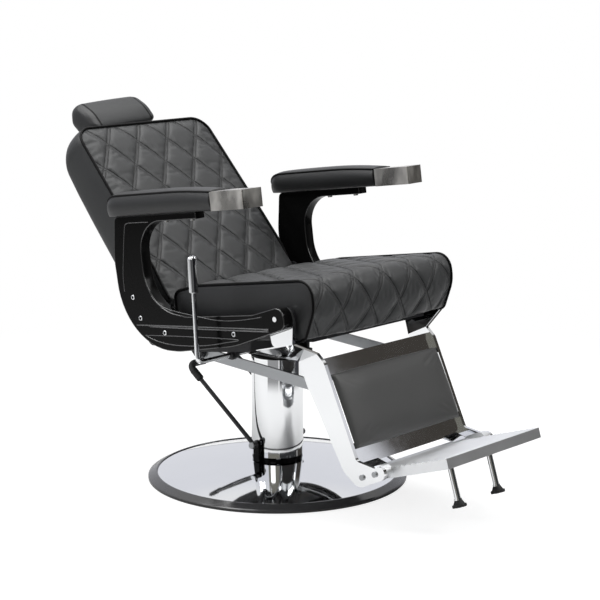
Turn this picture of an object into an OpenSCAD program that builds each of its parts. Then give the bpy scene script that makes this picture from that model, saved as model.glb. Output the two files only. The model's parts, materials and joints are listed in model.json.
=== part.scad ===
// Hydraulic barber chair: a chrome dome base, a pump with a foot pedal, a swivelling
// and lifting seat, a reclining back and a legrest that the back swings through two links.
// +Z is up, the sitter faces -Y, and the sitter's right is -X.
// The origin is the middle of the base, on the floor. The chair is drawn fully reclined.

/* [Base] */
// Diameter over the rubber rim
base_d = 650; // [580:1:740]
// Height of the rubber rim
rim_h = 18; // [14:1:24]
// Width of the rim's grey slope
rim_w = 23; // [16:1:30]
// Rise of the dome from its edge to its middle
dome_rise = 36; // [26:1:48]

/* [Column] */
// Diameter of the chrome sleeve
sleeve_d = 130; // [112:1:142]
// Length of the chrome sleeve
sleeve_l = 250; // [225:1:320]
// Diameter of the hydraulic piston
piston_d = 54; // [44:1:64]
// Travel of the hydraulic pump
lift_travel = 150; // [100:1:180]

/* [Pedal] */
// Distance between the pedal's two arms
pedal_w = 172; // [170:1:210]
// Length of each arm from its pivot to the crossbar
pedal_l = 283; // [220:1:330]
// Slope of the released pedal, in degrees
pedal_slope = 37; // [30:1:42]
// Diameter of the pedal rod
pedal_rod_d = 11; // [8:1:13]

/* [Seat] */
// Pitch of the whole seat unit, front end up, in degrees
seat_pitch = 8; // [0:1:12]
// Height of the seat's datum above the sleeve's top, at the column's axis
seat_rise = 90; // [88:1:120]
// Width of the seat cushion
cushion_w = 516; // [460:1:600]
// Reach of the cushion's nose in front of the column
cushion_front = 356; // [320:1:390]
// Reach of the cushion behind the column
cushion_rear = 85; // [70:1:86]
// Height of the cushion's top above the seat's datum
cushion_top = 122; // [90:1:140]
// Thickness of the plywood boards
board_t = 12; // [8:1:15]
// Side of the seat frame's square tubes
tube = 25; // [20:1:28]

/* [Side frames] */
// Room between the cushion's side and a side frame
frame_room = 22; // [20:1:30]
// Thickness of a side frame
frame_t = 30; // [20:1:36]
// Height of a side frame's top above the seat's datum
frame_top = 298; // [270:1:340]
// Reach of a side frame behind the column
frame_rear = 225; // [215:1:250]
// Width of a side frame's upright
upright_w = 96; // [80:1:105]

/* [Armrests] */
// Width of an armrest pad
arm_w = 68; // [56:1:90]
// Thickness of an armrest pad
arm_t = 49; // [40:1:60]
// Length of the chrome cap
cap_l = 100; // [70:1:120]

/* [Backrest] */
// Lean of the reclined back from the seat's normal, in degrees
back_lean = 33; // [25:1:36]
// Width of the backrest
back_w = 464; // [430:1:500]
// Height of the backrest's top above its pivot
back_h = 573; // [480:1:640]
// Thickness of the backrest
back_t = 98; // [88:1:110]
// Length of the cranks below the pivot
crank_l = 85; // [75:1:95]

/* [Headrest] */
// Width of the headrest roll
head_w = 232; // [180:1:280]
// Height of the headrest roll
head_h = 94; // [80:1:120]
// Gap between the backrest and the headrest roll
head_gap = 31; // [28:1:60]
// Travel of the headrest post upwards
head_travel = 60; // [20:1:70]

/* [Legrest] */
// Lean of the raised legrest bars from the seat's normal, in degrees
leg_lean = 17.5; // [12:0.5:20]
// Width over the legrest bars
leg_w = 416; // [370:1:440]
// Thickness of a legrest bar
bar_t = 10; // [8:1:12]
// Length of the legrest from its pivot to its foot
leg_l = 400; // [360:1:430]
// Depth of the footplate
foot_depth = 275; // [220:1:300]
// Thickness of the footplate
foot_t = 25; // [20:1:32]
// Pitch of the footplate's ribs
rib_pitch = 16; // [12:1:24]
// Length of the two legs under the footplate
prop_l = 94; // [70:1:98]

/* [Recline lever] */
// Reach of the lever outside its side frame
lever_out = 38; // [30:1:60]
// Height of the lever above its shaft
lever_h = 251; // [180:1:290]
// Lean of the lever towards the back, in degrees
lever_lean = 3.5; // [0:0.5:8]
// Diameter of the lever's grip
grip_d = 22; // [18:1:28]

/* [Fits] */
// Radial clearance of pins, shafts and the piston
fit = 0.05; // [0.02:0.01:0.08]
// Gap between parts that lie against each other
gap = 0.3; // [0.2:0.1:0.6]
// Room of the link bars' and the lock rod's rear eyes around their pins
slack = 2; // [1.8:0.1:2.5]

/* [Hidden] */
$fn = 64;

// Colours
chrome = "silver";
black_gloss = [0.08, 0.08, 0.08];
black_steel = [0.14, 0.14, 0.15];
leather = [0.32, 0.33, 0.33];
leather_dark = [0.17, 0.17, 0.18];
rubber = [0.1, 0.1, 0.1];
plywood = [0.72, 0.58, 0.4];
cast_metal = [0.78, 0.79, 0.8];
grey_steel = [0.55, 0.56, 0.57];

// Base and column heights
base_r = base_d / 2;
dome_r = base_r - rim_w;
dome_edge = rim_h - 2;
dome_top = dome_edge + dome_rise;
dome_t = 3;
sphere_r = (dome_r * dome_r + dome_rise * dome_rise) / (2 * dome_rise);
plate_r = dome_r - 5;
plate_t = 9;
sleeve_r = sleeve_d / 2;
sleeve_t = 3;
flange_r = sleeve_r - 2;
flange_t = 10;
boss_r = flange_r + 14;
boss_top = dome_top - 6;
flange_top = boss_top + flange_t;
sleeve_z = flange_top + 4;
sleeve_top = sleeve_z + sleeve_l;
piston_r = piston_d / 2;
pump_r = piston_r + 17;
pump_top = sleeve_top - 14;
piston_z = flange_top + 10;
piston_top = sleeve_top + 2;
spigot_r = 18;
bearing_t = 6;
bracket_z = piston_top + bearing_t + gap;
bracket_t = 8;
spigot_l = bearing_t + bracket_t + 22;
pump_bolt_ring = (pump_r + flange_r) / 2;

// Pedal
pivot_z = flange_top + 39;
arm_x = pedal_w / 2;
ear_x = arm_x - 11;
bend_r = 22;
ear_t = 8;
ear_z = dome_top - 1;

// Seat datum and the levels under the cushion, along the seat's normal
seat_z = sleeve_top + seat_rise;
cushion_x = cushion_w / 2;
cushion_bottom = -13;
frame_level = cushion_bottom - gap;
board_inset = 16;
rail_x = 56;
rail_bolt_x = rail_x + 8;
bracket_level = frame_level - tube;
flange_p = 62;
bracket_half = 62;
nose_bar_p = -cushion_front + 56;
nose_bar_x = 205;
nose_bar_t = 10;
front_tube_p = -150;
mid_tube_p = -10;
rear_tube_p = 150;
rear_tube_q = -24;
side_t = 6;
side_x = cushion_x + 2;
angle_w = 35;
angle_t = 3;

// Side frames: outer and inner faces, pivots and screws as [rearward, up] in the seat unit
frame_in = cushion_x + frame_room;
frame_out = frame_in + frame_t;
leg_pivot = [-286, 45];
lobe_r = 25;
limb_bottom = -30;
limb_top = 54;
tab_t = 17;
tab_front = -69;
screws = [[175, 101], [156, 50], [77, 14], [-152, 11]];
screw_r = 3;
panel_depth = 1.2;
panel_inset = 11;

// Armrests
arm_mid = (frame_in + frame_out) / 2;
arm_rear = 238;
arm_front = -141;
arm_board_t = 10;
cap_t = 44;
cap_wall = 3;
arm_bolts_p = [-44, 44];

// Backrest: everything along the back is measured from its pivot
back_pivot = [125, 20];
back_front = -33;
back_bottom = 50;
back_x = back_w / 2;
back_rear = back_front + back_t;
back_taper = 0.04;
back_corner = 42;
back_swell = 3;
back_straight = back_h - back_corner - back_bottom;
back_board_b = 2;
back_board_rear = back_board_b + 12;
cross_b = back_board_rear + gap;
crank_out = leg_w / 2;
crank_in = crank_out - bar_t;
lug_t = 6;
pivot_r = 8;
link_pin_r = 6;
pocket_x = back_x - 20;
pocket_top = back_h - 38;
post_w = 30;
post_t = 6;
post_b = 22;
socket_h = 380;
lower_bar_h = -45;

// Lock cylinder of the recliner
lock_x = -118;
lock_front = [-158, -70];
lock_crank = 75;
lock_r = 11;
lock_rod_r = 5;
lock_pin_r = 5;
lock_rear = back_pivot - lock_crank * [sin(back_lean), cos(back_lean)];
lock_l = norm(lock_rear - lock_front);
lock_angle = atan2(lock_rear.y - lock_front.y, lock_rear.x - lock_front.x);
lock_tube_l = 160;

// Legrest, in a frame with its origin at the pivot and the bars pointing down
eye_x = cushion_x + 10;
eye_t = frame_room - 8;
bar_front = -4;
bar_rear = 68;
bar_top = -98;
foot_end = [-50, -leg_l];
foot_r = 20;
foot_bolts = [[-3, -leg_l + 3], [-42, -leg_l]];
link_front = [53, -165];
plate_f = 8;
strap_t = 3;
plate_half = crank_in - 20;
foot_slope = 7.8;
foot_front = [-229, -leg_l - 17];
wall = 5;
rib_h = 3;
prop_x = 74;
prop_u = 79;
prop_r = 7;

// Links between the cranks and the legrest bars
link_t = 6;
link_half = 13;
link_out = crank_in - 1.5;
link_rear = back_pivot - crank_l * [sin(back_lean), cos(back_lean)];
link_start = leg_pivot + [link_front.x * cos(leg_lean) + link_front.y * sin(leg_lean),
                          link_front.y * cos(leg_lean) - link_front.x * sin(leg_lean)];

// Recline lever: its shaft lies under the seat, across the chair
lever_p = -62;
lever_q = -50;
lever_x = -(frame_out + lever_out);
lever_rod_r = 5.5;
lever_bend = 14;
lever_end = -150;
grip_l = 87;

// Quilting of the seat and the back
quilt_steps = 4;
quilt_across = 5;
quilt_seat = 5;
quilt_w = cushion_w / quilt_across;
quilt_l = 141;
quilt_h = 162;
pillow = 5;
crown = 6;
nose_droop = 13;
edge_r = 10;

// ---- Shared functions and modules ----

function unit(v) = v / norm(v);

function bearing(v) = atan2(v.y, v.x);

// Closed outline through corners [a, b, radius], each rounded by its own radius where it has room
function rounded(corners, steps = 6) =
    let (n = len(corners),
         p = [for (c = corners) [c.x, c.y]],
         u = [for (i = [0:n - 1]) unit(p[(i + n - 1) % n] - p[i])],
         v = [for (i = [0:n - 1]) unit(p[(i + 1) % n] - p[i])],
         half = [for (i = [0:n - 1]) acos(u[i] * v[i]) / 2],
         run = [for (i = [0:n - 1]) corners[i].z / tan(half[i])],
         room = [for (i = [0:n - 1])
             let (next = (i + 1) % n)
             0.98 * norm(p[next] - p[i]) / max(run[i] + run[next], 0.01)])
    [for (i = [0:n - 1]) each (corners[i].z == 0 ? [p[i]] :
        arc_between(p[i], u[i], v[i], half[i], corners[i].z * min(1, room[i], room[(i + n - 1) % n]), steps))];

function arc_between(corner, u, v, half, r, steps) =
    let (middle = corner + unit(u + v) * r / sin(half),
         from = bearing(corner + u * r / tan(half) - middle),
         to = bearing(corner + v * r / tan(half) - middle),
         sweep = (to - from + 540) % 360 - 180)
    [for (k = [0:steps]) middle + r * [cos(from + sweep * k / steps), sin(from + sweep * k / steps)]];

// Length along a path up to each of its points
function marks(path) =
    [for (i = 0, s = 0; i < len(path); s = s + norm(path[min(i + 1, len(path) - 1)] - path[i]), i = i + 1) s];

// The path again, as n + 1 points at equal distances
function resampled(path, n) =
    let (s = marks(path),
         a = [for (i = [0:len(path) - 1]) [s[i], path[i].x]],
         b = [for (i = [0:len(path) - 1]) [s[i], path[i].y]],
         total = s[len(s) - 1])
    [for (k = [0:n]) [lookup(total * k / n, a), lookup(total * k / n, b)]];

// Swelling of the quilting between channels that cross where both counts are whole
function quilted(across, along) =
    pillow * sqrt(abs(sin(180 * (across + along)) * sin(180 * (across - along))));

// Closed skin through rings of equally many points, with the ends fanned
module skin(rings) {
    n = len(rings[0]);
    m = len(rings);
    middle = function (ring) [for (axis = [0:2]) ([for (p = ring) 1] * [for (p = ring) p[axis]]) / len(ring)];
    points = concat([for (ring = rings) each ring], [middle(rings[0]), middle(rings[m - 1])]);
    sides = [for (r = [0:m - 2], i = [0:n - 1])
        let (a = r * n + i, b = r * n + (i + 1) % n, c = b + n, d = a + n)
        each ((r + i) % 2 == 0 ? [[a, b, c], [a, c, d]] : [[a, b, d], [b, c, d]])];
    first = [for (i = [0:n - 1]) [m * n, (i + 1) % n, i]];
    last = [for (i = [0:n - 1]) [m * n + 1, (m - 1) * n + i, (m - 1) * n + (i + 1) % n]];
    polyhedron(concat(points), concat(sides, first, last), convexity = 8);
}

// A [rearward, up] outline as a plate that starts at x and is t wide
module slab(x, t) {
    translate([x, 0, 0]) rotate([90, 0, 90]) linear_extrude(t) children();
}

// A round bar along X between two places
module bar_x(from, to, r) {
    translate([from, 0, 0]) rotate([0, 90, 0]) cylinder(h = to - from, r = r);
}

module at(place) {
    translate([0, place.x, place.y]) children();
}

// Frames of the moving units
module in_seat() {
    translate([0, 0, seat_z]) rotate([-seat_pitch, 0, 0]) children();
}

module in_back() {
    in_seat() at(back_pivot) rotate([-back_lean, 0, 0]) children();
}

module in_leg() {
    in_seat() at(leg_pivot) rotate([-leg_lean, 0, 0]) children();
}

module in_foot() {
    in_leg() at(foot_front) rotate([foot_slope, 0, 0]) children();
}

module in_lock() {
    in_seat() at(lock_front) rotate([lock_angle, 0, 0]) children();
}

module in_pedal() {
    translate([0, 0, pivot_z]) rotate([pedal_slope, 0, 0]) children();
}

module both_sides() {
    children();
    mirror([1, 0, 0]) children();
}

// ---- Base ----

module base_plate() {
    color(black_steel) {
        cylinder(h = plate_t, r = plate_r, $fn = 180);
        cylinder(h = boss_top, r = boss_r);
        for (turn = [0:60:300])
            rotate(turn) translate([boss_r - 4, -4, 0]) cube([plate_r * 0.5, 8, rim_h - 4]);
    }
}

module base_dome() {
    color(chrome) rotate_extrude($fn = 180) intersection() {
        difference() {
            translate([0, dome_top - sphere_r]) circle(sphere_r, $fn = 1440);
            translate([0, dome_top - sphere_r]) circle(sphere_r - dome_t, $fn = 1440);
        }
        translate([flange_r + 0.5, 0]) square([dome_r - flange_r - 1, dome_top]);
    }
}

module base_rim() {
    inner = plate_r + 0.5;
    ledge = dome_edge - dome_t - 0.8;
    color(rubber) rotate_extrude($fn = 180) polygon([
        [inner, 0], [base_r - 1.5, 0], [base_r, 1.5], [base_r, rim_h * 0.38], [base_r - 3, rim_h * 0.5],
        [dome_r + 3, rim_h], [dome_r, rim_h], [dome_r, ledge], [inner, ledge]
    ]);
}

module pump_cylinder() {
    color(black_steel) {
        rotate_extrude() polygon([
            [0, boss_top], [flange_r, boss_top], [flange_r, flange_top], [pump_r, flange_top],
            [pump_r, pump_top - 4], [pump_r - 4, pump_top], [piston_r + fit, pump_top],
            [piston_r + fit, flange_top], [0, flange_top]
        ]);
        both_sides() difference() {
            union() {
                translate([flange_r - 6, -9, ear_z]) cube([ear_x + ear_t / 2 - flange_r + 6, 18, flange_top - ear_z]);
                slab(ear_x - ear_t / 2, ear_t) polygon(rounded([
                    [-9, ear_z, 0], [9, ear_z, 0], [9, pivot_z + 10, 8], [-9, pivot_z + 10, 8]]));
            }
            translate([0, 0, pivot_z]) bar_x(ear_x - ear_t, ear_x + ear_t, 5 + fit);
        }
    }
}

module pump_bolts() {
    color(grey_steel) for (turn = [45:90:315])
        rotate(turn) translate([pump_bolt_ring, 0, flange_top + gap / 10]) {
            cylinder(h = 3.4, r = 6.5, $fn = 6);
            cylinder(h = 3.6, r = 3);
        }
}

module pedal_pins() {
    color(chrome) both_sides() translate([0, 0, pivot_z]) {
        bar_x(ear_x - ear_t / 2 - 3, arm_x + 10, 5);
        bar_x(arm_x + 7, arm_x + 11, 8);
    }
}

// ---- Foot pedal ----

module pedal_side(r) {
    translate([arm_x, 6, 0]) rotate([-90, 0, 0]) cylinder(h = pedal_l - bend_r - 6, r = r);
    pedal_corner(r);
    translate([0, pedal_l, 0]) bar_x(-1, arm_x - bend_r, r);
}

module pedal_corner(r) {
    translate([arm_x - bend_r, pedal_l - bend_r, 0])
        rotate_extrude(angle = 90) translate([bend_r, 0]) circle(r, $fn = 32);
}

module pedal_frame() {
    eye = ear_x + ear_t / 2 + gap;
    color(black_steel) in_pedal() both_sides() difference() {
        union() {
            pedal_side(pedal_rod_d / 2);
            bar_x(eye, arm_x + 7 - gap, 9);
        }
        bar_x(eye - 1, arm_x + 8, 5 + fit);
    }
}

module pedal_grip() {
    wall_r = pedal_rod_d / 2 + 3.5;
    color(rubber) in_pedal() mirror([1, 0, 0]) difference() {
        union() {
            pedal_corner(wall_r);
            translate([arm_x, pedal_l - bend_r - 30, 0]) rotate([-90, 0, 0]) cylinder(h = 30, r = wall_r);
            translate([0, pedal_l, 0]) bar_x(arm_x - bend_r - 34, arm_x - bend_r, wall_r);
            for (step = [0:4])
                translate([arm_x, pedal_l - bend_r - 27 + step * 6, 0]) rotate([-90, 0, 0]) cylinder(h = 3, r = wall_r + 0.8);
        }
        pedal_side(pedal_rod_d / 2 + fit);
    }
}

// ---- Piston, swivel and sleeve ----

module piston() {
    color(chrome) {
        translate([0, 0, piston_z]) cylinder(h = piston_top - piston_z, r = piston_r);
        translate([0, 0, piston_top - 1]) cylinder(h = spigot_l + 1, r = spigot_r);
    }
}

module swivel_bearing() {
    color(grey_steel) translate([0, 0, piston_top]) difference() {
        cylinder(h = bearing_t, r = piston_r - 1);
        translate([0, 0, -1]) cylinder(h = bearing_t + 2, r = spigot_r + fit);
    }
}

module swivel_bracket() {
    web_t = 8;
    color(black_steel) difference() {
        union() {
            translate([-bracket_half, -bracket_half, bracket_z]) cube([2 * bracket_half, 2 * bracket_half, bracket_t]);
            translate([0, 0, bracket_z]) cylinder(h = spigot_l - bearing_t, r = spigot_r + 12);
            in_seat() both_sides()
                translate([rail_x - 18, -flange_p, bracket_level - 6]) cube([36, 2 * flange_p, 6]);
            both_sides() intersection() {
                translate([rail_x - web_t, -bracket_half + 4, bracket_z + bracket_t - 1])
                    cube([web_t, 2 * bracket_half - 8, seat_rise]);
                in_seat() translate([0, -base_r, bracket_level - 1 - seat_rise]) cube([base_r, base_d, seat_rise]);
            }
            for (y = [-40, 32]) intersection() {
                translate([-rail_x, y, bracket_z + bracket_t - 1]) cube([2 * rail_x, web_t, seat_rise]);
                in_seat() translate([-base_r, -base_r, bracket_level - 6 - seat_rise]) cube([base_d, base_d, seat_rise]);
            }
        }
        translate([0, 0, bracket_z - 1]) cylinder(h = spigot_l + seat_rise, r = spigot_r + fit);
        in_seat() both_sides() for (p = [-44, 44])
            translate([rail_bolt_x, p, bracket_level - 10]) cylinder(h = 20, r = 4 + fit);
    }
}

module bracket_bolts() {
    color(grey_steel) in_seat() both_sides() for (p = [-44, 44])
        translate([rail_bolt_x, p, bracket_level - 6 - gap / 10]) {
            translate([0, 0, -5]) cylinder(h = 5, r = 7, $fn = 6);
            translate([0, 0, -1]) cylinder(h = 11, r = 4);
        }
}

module column_sleeve() {
    color(chrome) translate([0, 0, sleeve_z]) difference() {
        cylinder(h = sleeve_l, r = sleeve_r, $fn = 128);
        translate([0, 0, -1]) cylinder(h = sleeve_l + 2, r = sleeve_r - sleeve_t, $fn = 128);
    }
}

module sleeve_collar() {
    lip = sleeve_r - sleeve_t - 4;
    color(black_gloss) rotate_extrude($fn = 128) polygon([
        [lip, sleeve_top - 8], [sleeve_r - sleeve_t - fit, sleeve_top - 8], [sleeve_r - sleeve_t - fit, sleeve_top],
        [sleeve_r, sleeve_top], [sleeve_r + 1, sleeve_top + 1], [sleeve_r + 1, bracket_z - 2],
        [sleeve_r - 1, bracket_z], [lip, bracket_z]
    ]);
}

// ---- Seat frame and seat ----

module side_plate_outline() {
    difference() {
        polygon(rounded([
            [leg_pivot.x - 20, leg_pivot.y + 20, 18], [leg_pivot.x - 20, leg_pivot.y - 20, 18],
            [-240, 5, 40], [front_tube_p - 16, 5, 8], [front_tube_p, bracket_level, 4],
            [mid_tube_p + tube, bracket_level, 20], [110, rear_tube_q, 60], [188, rear_tube_q, 20],
            [190, 116, 12], [160, 116, 12], [140, 40, 20], [-120, 32, 60], [leg_pivot.x + 24, leg_pivot.y + 20, 14]
        ]));
        translate(leg_pivot) circle(pivot_r + fit);
        for (screw = screws)
            translate(screw) circle(screw_r + fit, $fn = 32);
    }
}

module seat_frame() {
    color(black_steel) in_seat() {
        both_sides() {
            slab(side_x, side_t) side_plate_outline();
            translate([side_x - angle_w, front_tube_p + 4, frame_level - angle_t])
                cube([angle_w + 1, mid_tube_p + tube - front_tube_p - 8, angle_t]);
            difference() {
                slab(rail_x - tube / 2, tube + 8) polygon([
                    [nose_bar_p + 1, frame_level], [nose_bar_p + 1, frame_level - nose_bar_t + 1],
                    [front_tube_p - 45, bracket_level], [mid_tube_p + tube - 1, bracket_level],
                    [mid_tube_p + tube - 1, frame_level]]);
                for (p = [-44, 44])
                    translate([rail_bolt_x, p, bracket_level - 1]) cylinder(h = 14, r = 4 + fit);
            }
            slab(crank_out + 2, lug_t) difference() {
                polygon(rounded([
                    [back_pivot.x - 18, back_pivot.y + 18, 17], [back_pivot.x - 18, back_pivot.y - 18, 17],
                    [rear_tube_p + 4, rear_tube_q, 0], [rear_tube_p + 4, rear_tube_q + tube, 0],
                    [back_pivot.x + 10, back_pivot.y + 18, 10]]));
                translate(back_pivot) circle(pivot_r + fit);
            }
        }
        translate([-nose_bar_x, nose_bar_p, frame_level - nose_bar_t]) cube([2 * nose_bar_x, tube, nose_bar_t]);
        translate([-side_x - 1, front_tube_p, bracket_level]) cube([2 * side_x + 2, tube, tube]);
        translate([-side_x - 1, mid_tube_p, bracket_level]) cube([2 * side_x + 2, tube, tube]);
        translate([-side_x - 1, rear_tube_p, rear_tube_q]) cube([2 * side_x + 2, tube, tube]);
        lock_lugs();
        lever_bearing();
    }
}

// Two plates hanging from the front tube, for the lock cylinder's front pin
module lock_lugs() {
    for (x = [lock_x - 18, lock_x + 12])
        slab(x, 6) difference() {
            polygon(rounded([
                [front_tube_p + 2, bracket_level + 4, 0], [lock_front.x - 13, lock_front.y - 13, 12],
                [lock_front.x + 13, lock_front.y - 13, 12], [front_tube_p + tube - 2, bracket_level + 4, 0]]));
            translate(lock_front) circle(lock_pin_r + fit, $fn = 32);
        }
}

// Hanger and tube that carry the lever's shaft
module lever_bearing() {
    inner = side_x - angle_w + 2;
    difference() {
        union() {
            slab(-inner - 8, 8) polygon(rounded([
                [lever_p - 14, frame_level - angle_t / 2, 0], [lever_p - 12, lever_q - 12, 11],
                [lever_p + 12, lever_q - 12, 11], [lever_p + 14, frame_level - angle_t / 2, 0]]));
            at([lever_p, lever_q]) bar_x(-inner - 14, -inner + 10, 10);
        }
        at([lever_p, lever_q]) bar_x(-inner - 20, -inner + 20, lever_rod_r + fit);
    }
}

// Plan of the seat board, and of the recess in the cushion that holds it
module seat_board_plan() {
    polygon(rounded([
        [-cushion_x + board_inset, -cushion_front + 52, 20], [cushion_x - board_inset, -cushion_front + 52, 20],
        [cushion_x - board_inset, cushion_rear - 26, 15], [-cushion_x + board_inset, cushion_rear - 26, 15]]));
}

module seat_board() {
    color(plywood) in_seat() translate([0, 0, cushion_bottom]) linear_extrude(board_t) seat_board_plan();
}

// Side outline of the cushion from its rear foot over the top and the nose to its front foot
function seat_panel(droop) = rounded([
    [cushion_rear - 18, cushion_bottom, 0], [cushion_rear, cushion_bottom + 50, 30],
    [cushion_rear, cushion_top - 16, 22], [0, cushion_top - 3, 160],
    [-cushion_front, cushion_top + 2, 38], [-cushion_front - 1, cushion_top * 0.42, 90],
    [-cushion_front + 26, cushion_bottom - droop, 14], [-cushion_front + 44, cushion_bottom, 0]], 5);

// One ring of the seat cushion at x, drawn in by inset
function seat_ring(x, inset) =
    let (n = quilt_seat * quilt_steps,
         panel = resampled(seat_panel(nose_droop * (1 - pow(x / cushion_x, 2))), n),
         across = x / cushion_w * quilt_across,
         swell = crown * (1 - pow(x / cushion_x, 2)),
         plain = cushion_rear - 26)
    concat(
        [for (k = [0:n])
            let (along = unit(panel[min(k + 1, n)] - panel[max(k - 1, 0)]),
                 out = [-along.y, along.x],
                 puff = inset > 0 || k == n || panel[k].x > plain ? 0 : quilted(across, k / quilt_steps) + swell,
                 hold = k == 0 || k == n ? 0 : inset,
                 place = panel[k] - out * (puff - hold))
            [x, place.x, place.x > nose_bar_p - 12 ? max(place.y, cushion_bottom) : place.y]],
        [for (p = [-cushion_front + 150, -60]) [x, p, cushion_bottom]]);

module seat_cushion() {
    half = quilt_across * quilt_steps / 2;
    edge = edge_r * 0.6;
    middle = [for (i = [-half:half]) seat_ring((cushion_x - edge) * i / half, 0)];
    color(leather) in_seat() difference() {
        skin(concat(
            [seat_ring(-cushion_x, edge), seat_ring(-cushion_x + edge * 0.35, edge * 0.3)],
            middle,
            [seat_ring(cushion_x - edge * 0.35, edge * 0.3), seat_ring(cushion_x, edge)]));
        translate([0, 0, cushion_bottom - 1]) linear_extrude(board_t + 1 + gap) offset(delta = gap) seat_board_plan();
    }
}

// ---- Side frames ----

function frame_corners() = [
    [tab_front, frame_top, 3], [frame_rear - 14, frame_top, 14], [frame_rear + 2, frame_top - 100, 200],
    [frame_rear, limb_bottom + 5, 162], [30, limb_bottom - 1, 200], [-150, limb_bottom + 12, 300],
    [leg_pivot.x - lobe_r - 5, leg_pivot.y - lobe_r + 3, 20],
    [leg_pivot.x - lobe_r + 3, leg_pivot.y + lobe_r + 4, 22], [-215, limb_top + 1, 60],
    [frame_rear - upright_w - 130, limb_top - 2, 110],
    [frame_rear - upright_w + 1, limb_top + 22, 112],
    [frame_rear - upright_w, frame_top - tab_t, 74], [tab_front, frame_top - tab_t, 2]];

// Sunk panels of the outer face, between the edge band and the two straight ridges
module frame_panels() {
    ridge_q = 31;
    step_q = -1;
    intersection() {
        offset(delta = -panel_inset) polygon(rounded(frame_corners(), 8));
        union() {
            translate([-250, ridge_q]) square([2 * frame_rear, frame_top]);
            translate([-240, step_q - 60]) square([2 * frame_rear, 60]);
        }
    }
}

module side_frame() {
    color(black_gloss) in_seat() difference() {
        union() {
            slab(frame_in, frame_t) polygon(rounded(frame_corners(), 8));
            for (screw = screws)
                at(screw) bar_x(side_x + side_t, frame_in + 1, 12);
        }
        slab(frame_out - panel_depth, panel_depth + 1) frame_panels();
        for (screw = screws) {
            at(screw) bar_x(side_x, frame_out + 1, screw_r + fit);
            at(screw) bar_x(frame_out - panel_depth, frame_out + 1, screw_r + 2.3);
        }
        at(leg_pivot) bar_x(frame_in - 1, frame_in + 9, pivot_r + fit);
        at(leg_pivot) bar_x(frame_in, frame_out + 1, 4 + fit);
        for (p = arm_bolts_p)
            translate([arm_mid, p, frame_top - tab_t - 1]) cylinder(h = tab_t + 2, r = 3 + fit, $fn = 32);
    }
}

module side_frame_right() {
    mirror([1, 0, 0]) side_frame();
}

module side_frame_left() {
    side_frame();
}

module side_frame_screws() {
    color(chrome) in_seat() both_sides() for (screw = screws)
        at(screw) {
            bar_x(side_x + 1, frame_out, screw_r);
            bar_x(frame_out + gap / 10 - panel_depth, frame_out + 1.6, screw_r + 2.2);
        }
}

// ---- Armrests ----

module armrest_board() {
    rear = arm_rear - 36;
    color(plywood) in_seat() difference() {
        translate([arm_mid - arm_w / 2 + 13, arm_front - cap_l + 12, frame_top])
            cube([arm_w - 26, rear - arm_front + cap_l - 12, arm_board_t]);
        for (p = arm_bolts_p)
            translate([arm_mid, p, frame_top - 1]) cylinder(h = arm_board_t - 1, r = 3 + fit, $fn = 32);
    }
}

module armrest_board_right() {
    mirror([1, 0, 0]) armrest_board();
}

module armrest_board_left() {
    armrest_board();
}

// Cross-section of a pad: flat underneath, drawn in at the foot and crowned on top
function pad_ring(p, half, height) =
    let (foot = half - 3,
         arch = [for (turn = [15:25:165]) [half * cos(turn) / cos(15), height * (0.62 + 0.38 * sin(turn))]])
    [for (point = concat([[-foot, 0], [0, 0], [foot, 0], [half, height * 0.25]], arch, [[-half, height * 0.25]]))
        [arm_mid + point.x, p, frame_top + point.y]];

module armrest_pad() {
    round_l = 34;
    half = arm_w / 2;
    front = [for (p = [arm_front, arm_front + 30, arm_front + 120, arm_rear - 130])
        pad_ring(p, half, arm_t + (p == arm_front ? 0 : p == arm_front + 30 ? 5 : 9))];
    rear = [for (turn = [2, 22, 42, 62, 80])
        pad_ring(arm_rear - round_l * (1 - sin(turn)), half * (0.4 + 0.6 * cos(turn)),
            (arm_t + 7) * (0.72 + 0.28 * cos(turn)))];
    color(leather_dark) in_seat() difference() {
        skin(concat(front, rear));
        translate([arm_mid - arm_w / 2 + 13 - gap, arm_front - 1, frame_top - 1])
            cube([arm_w - 26 + 2 * gap, arm_rear - 36 - arm_front + 1 + gap, arm_board_t + 1 + gap]);
    }
}

module armrest_pad_right() {
    mirror([1, 0, 0]) armrest_pad();
}

module armrest_pad_left() {
    armrest_pad();
}

// Plan of a cap with its open end at rear: the sides draw in a little towards the front
module cap_plan(half, rear) {
    outline = rounded([
        [rear, -half, 0], [arm_front - cap_l, -half + 4, 5], [arm_front - cap_l - 5, half - 4, 5], [rear, half, 0]], 4);
    polygon([for (p = outline) [-p.y, p.x]]);
}

module armrest_cap() {
    half = arm_w / 2 + 1;
    color(chrome) in_seat() difference() {
        translate([arm_mid, 0, frame_top]) linear_extrude(cap_t) cap_plan(half, arm_front - gap);
        translate([arm_mid - arm_w / 2 + 13 - gap, arm_front - cap_l + 12 - gap, frame_top - 1])
            cube([arm_w - 26 + 2 * gap, cap_l, arm_board_t + 1 + gap]);
        translate([arm_mid, 0, frame_top + arm_board_t + 3])
            linear_extrude(cap_t - arm_board_t - 3 - cap_wall) intersection() {
                cap_plan(half - cap_wall, arm_front + 10);
                translate([-half, arm_front - cap_l + 12]) square([2 * half, cap_l]);
            }
    }
}

module armrest_cap_right() {
    mirror([1, 0, 0]) armrest_cap();
}

module armrest_cap_left() {
    armrest_cap();
}

module armrest_bolts() {
    color(chrome) in_seat() both_sides() for (p = arm_bolts_p)
        translate([arm_mid, p, frame_top - tab_t]) {
            translate([0, 0, -4]) cylinder(h = 4 - gap / 10, r = 6);
            translate([0, 0, -2]) cylinder(h = tab_t + 8, r = 3);
        }
}

// ---- Pivot bolts of the seat frame ----

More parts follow.
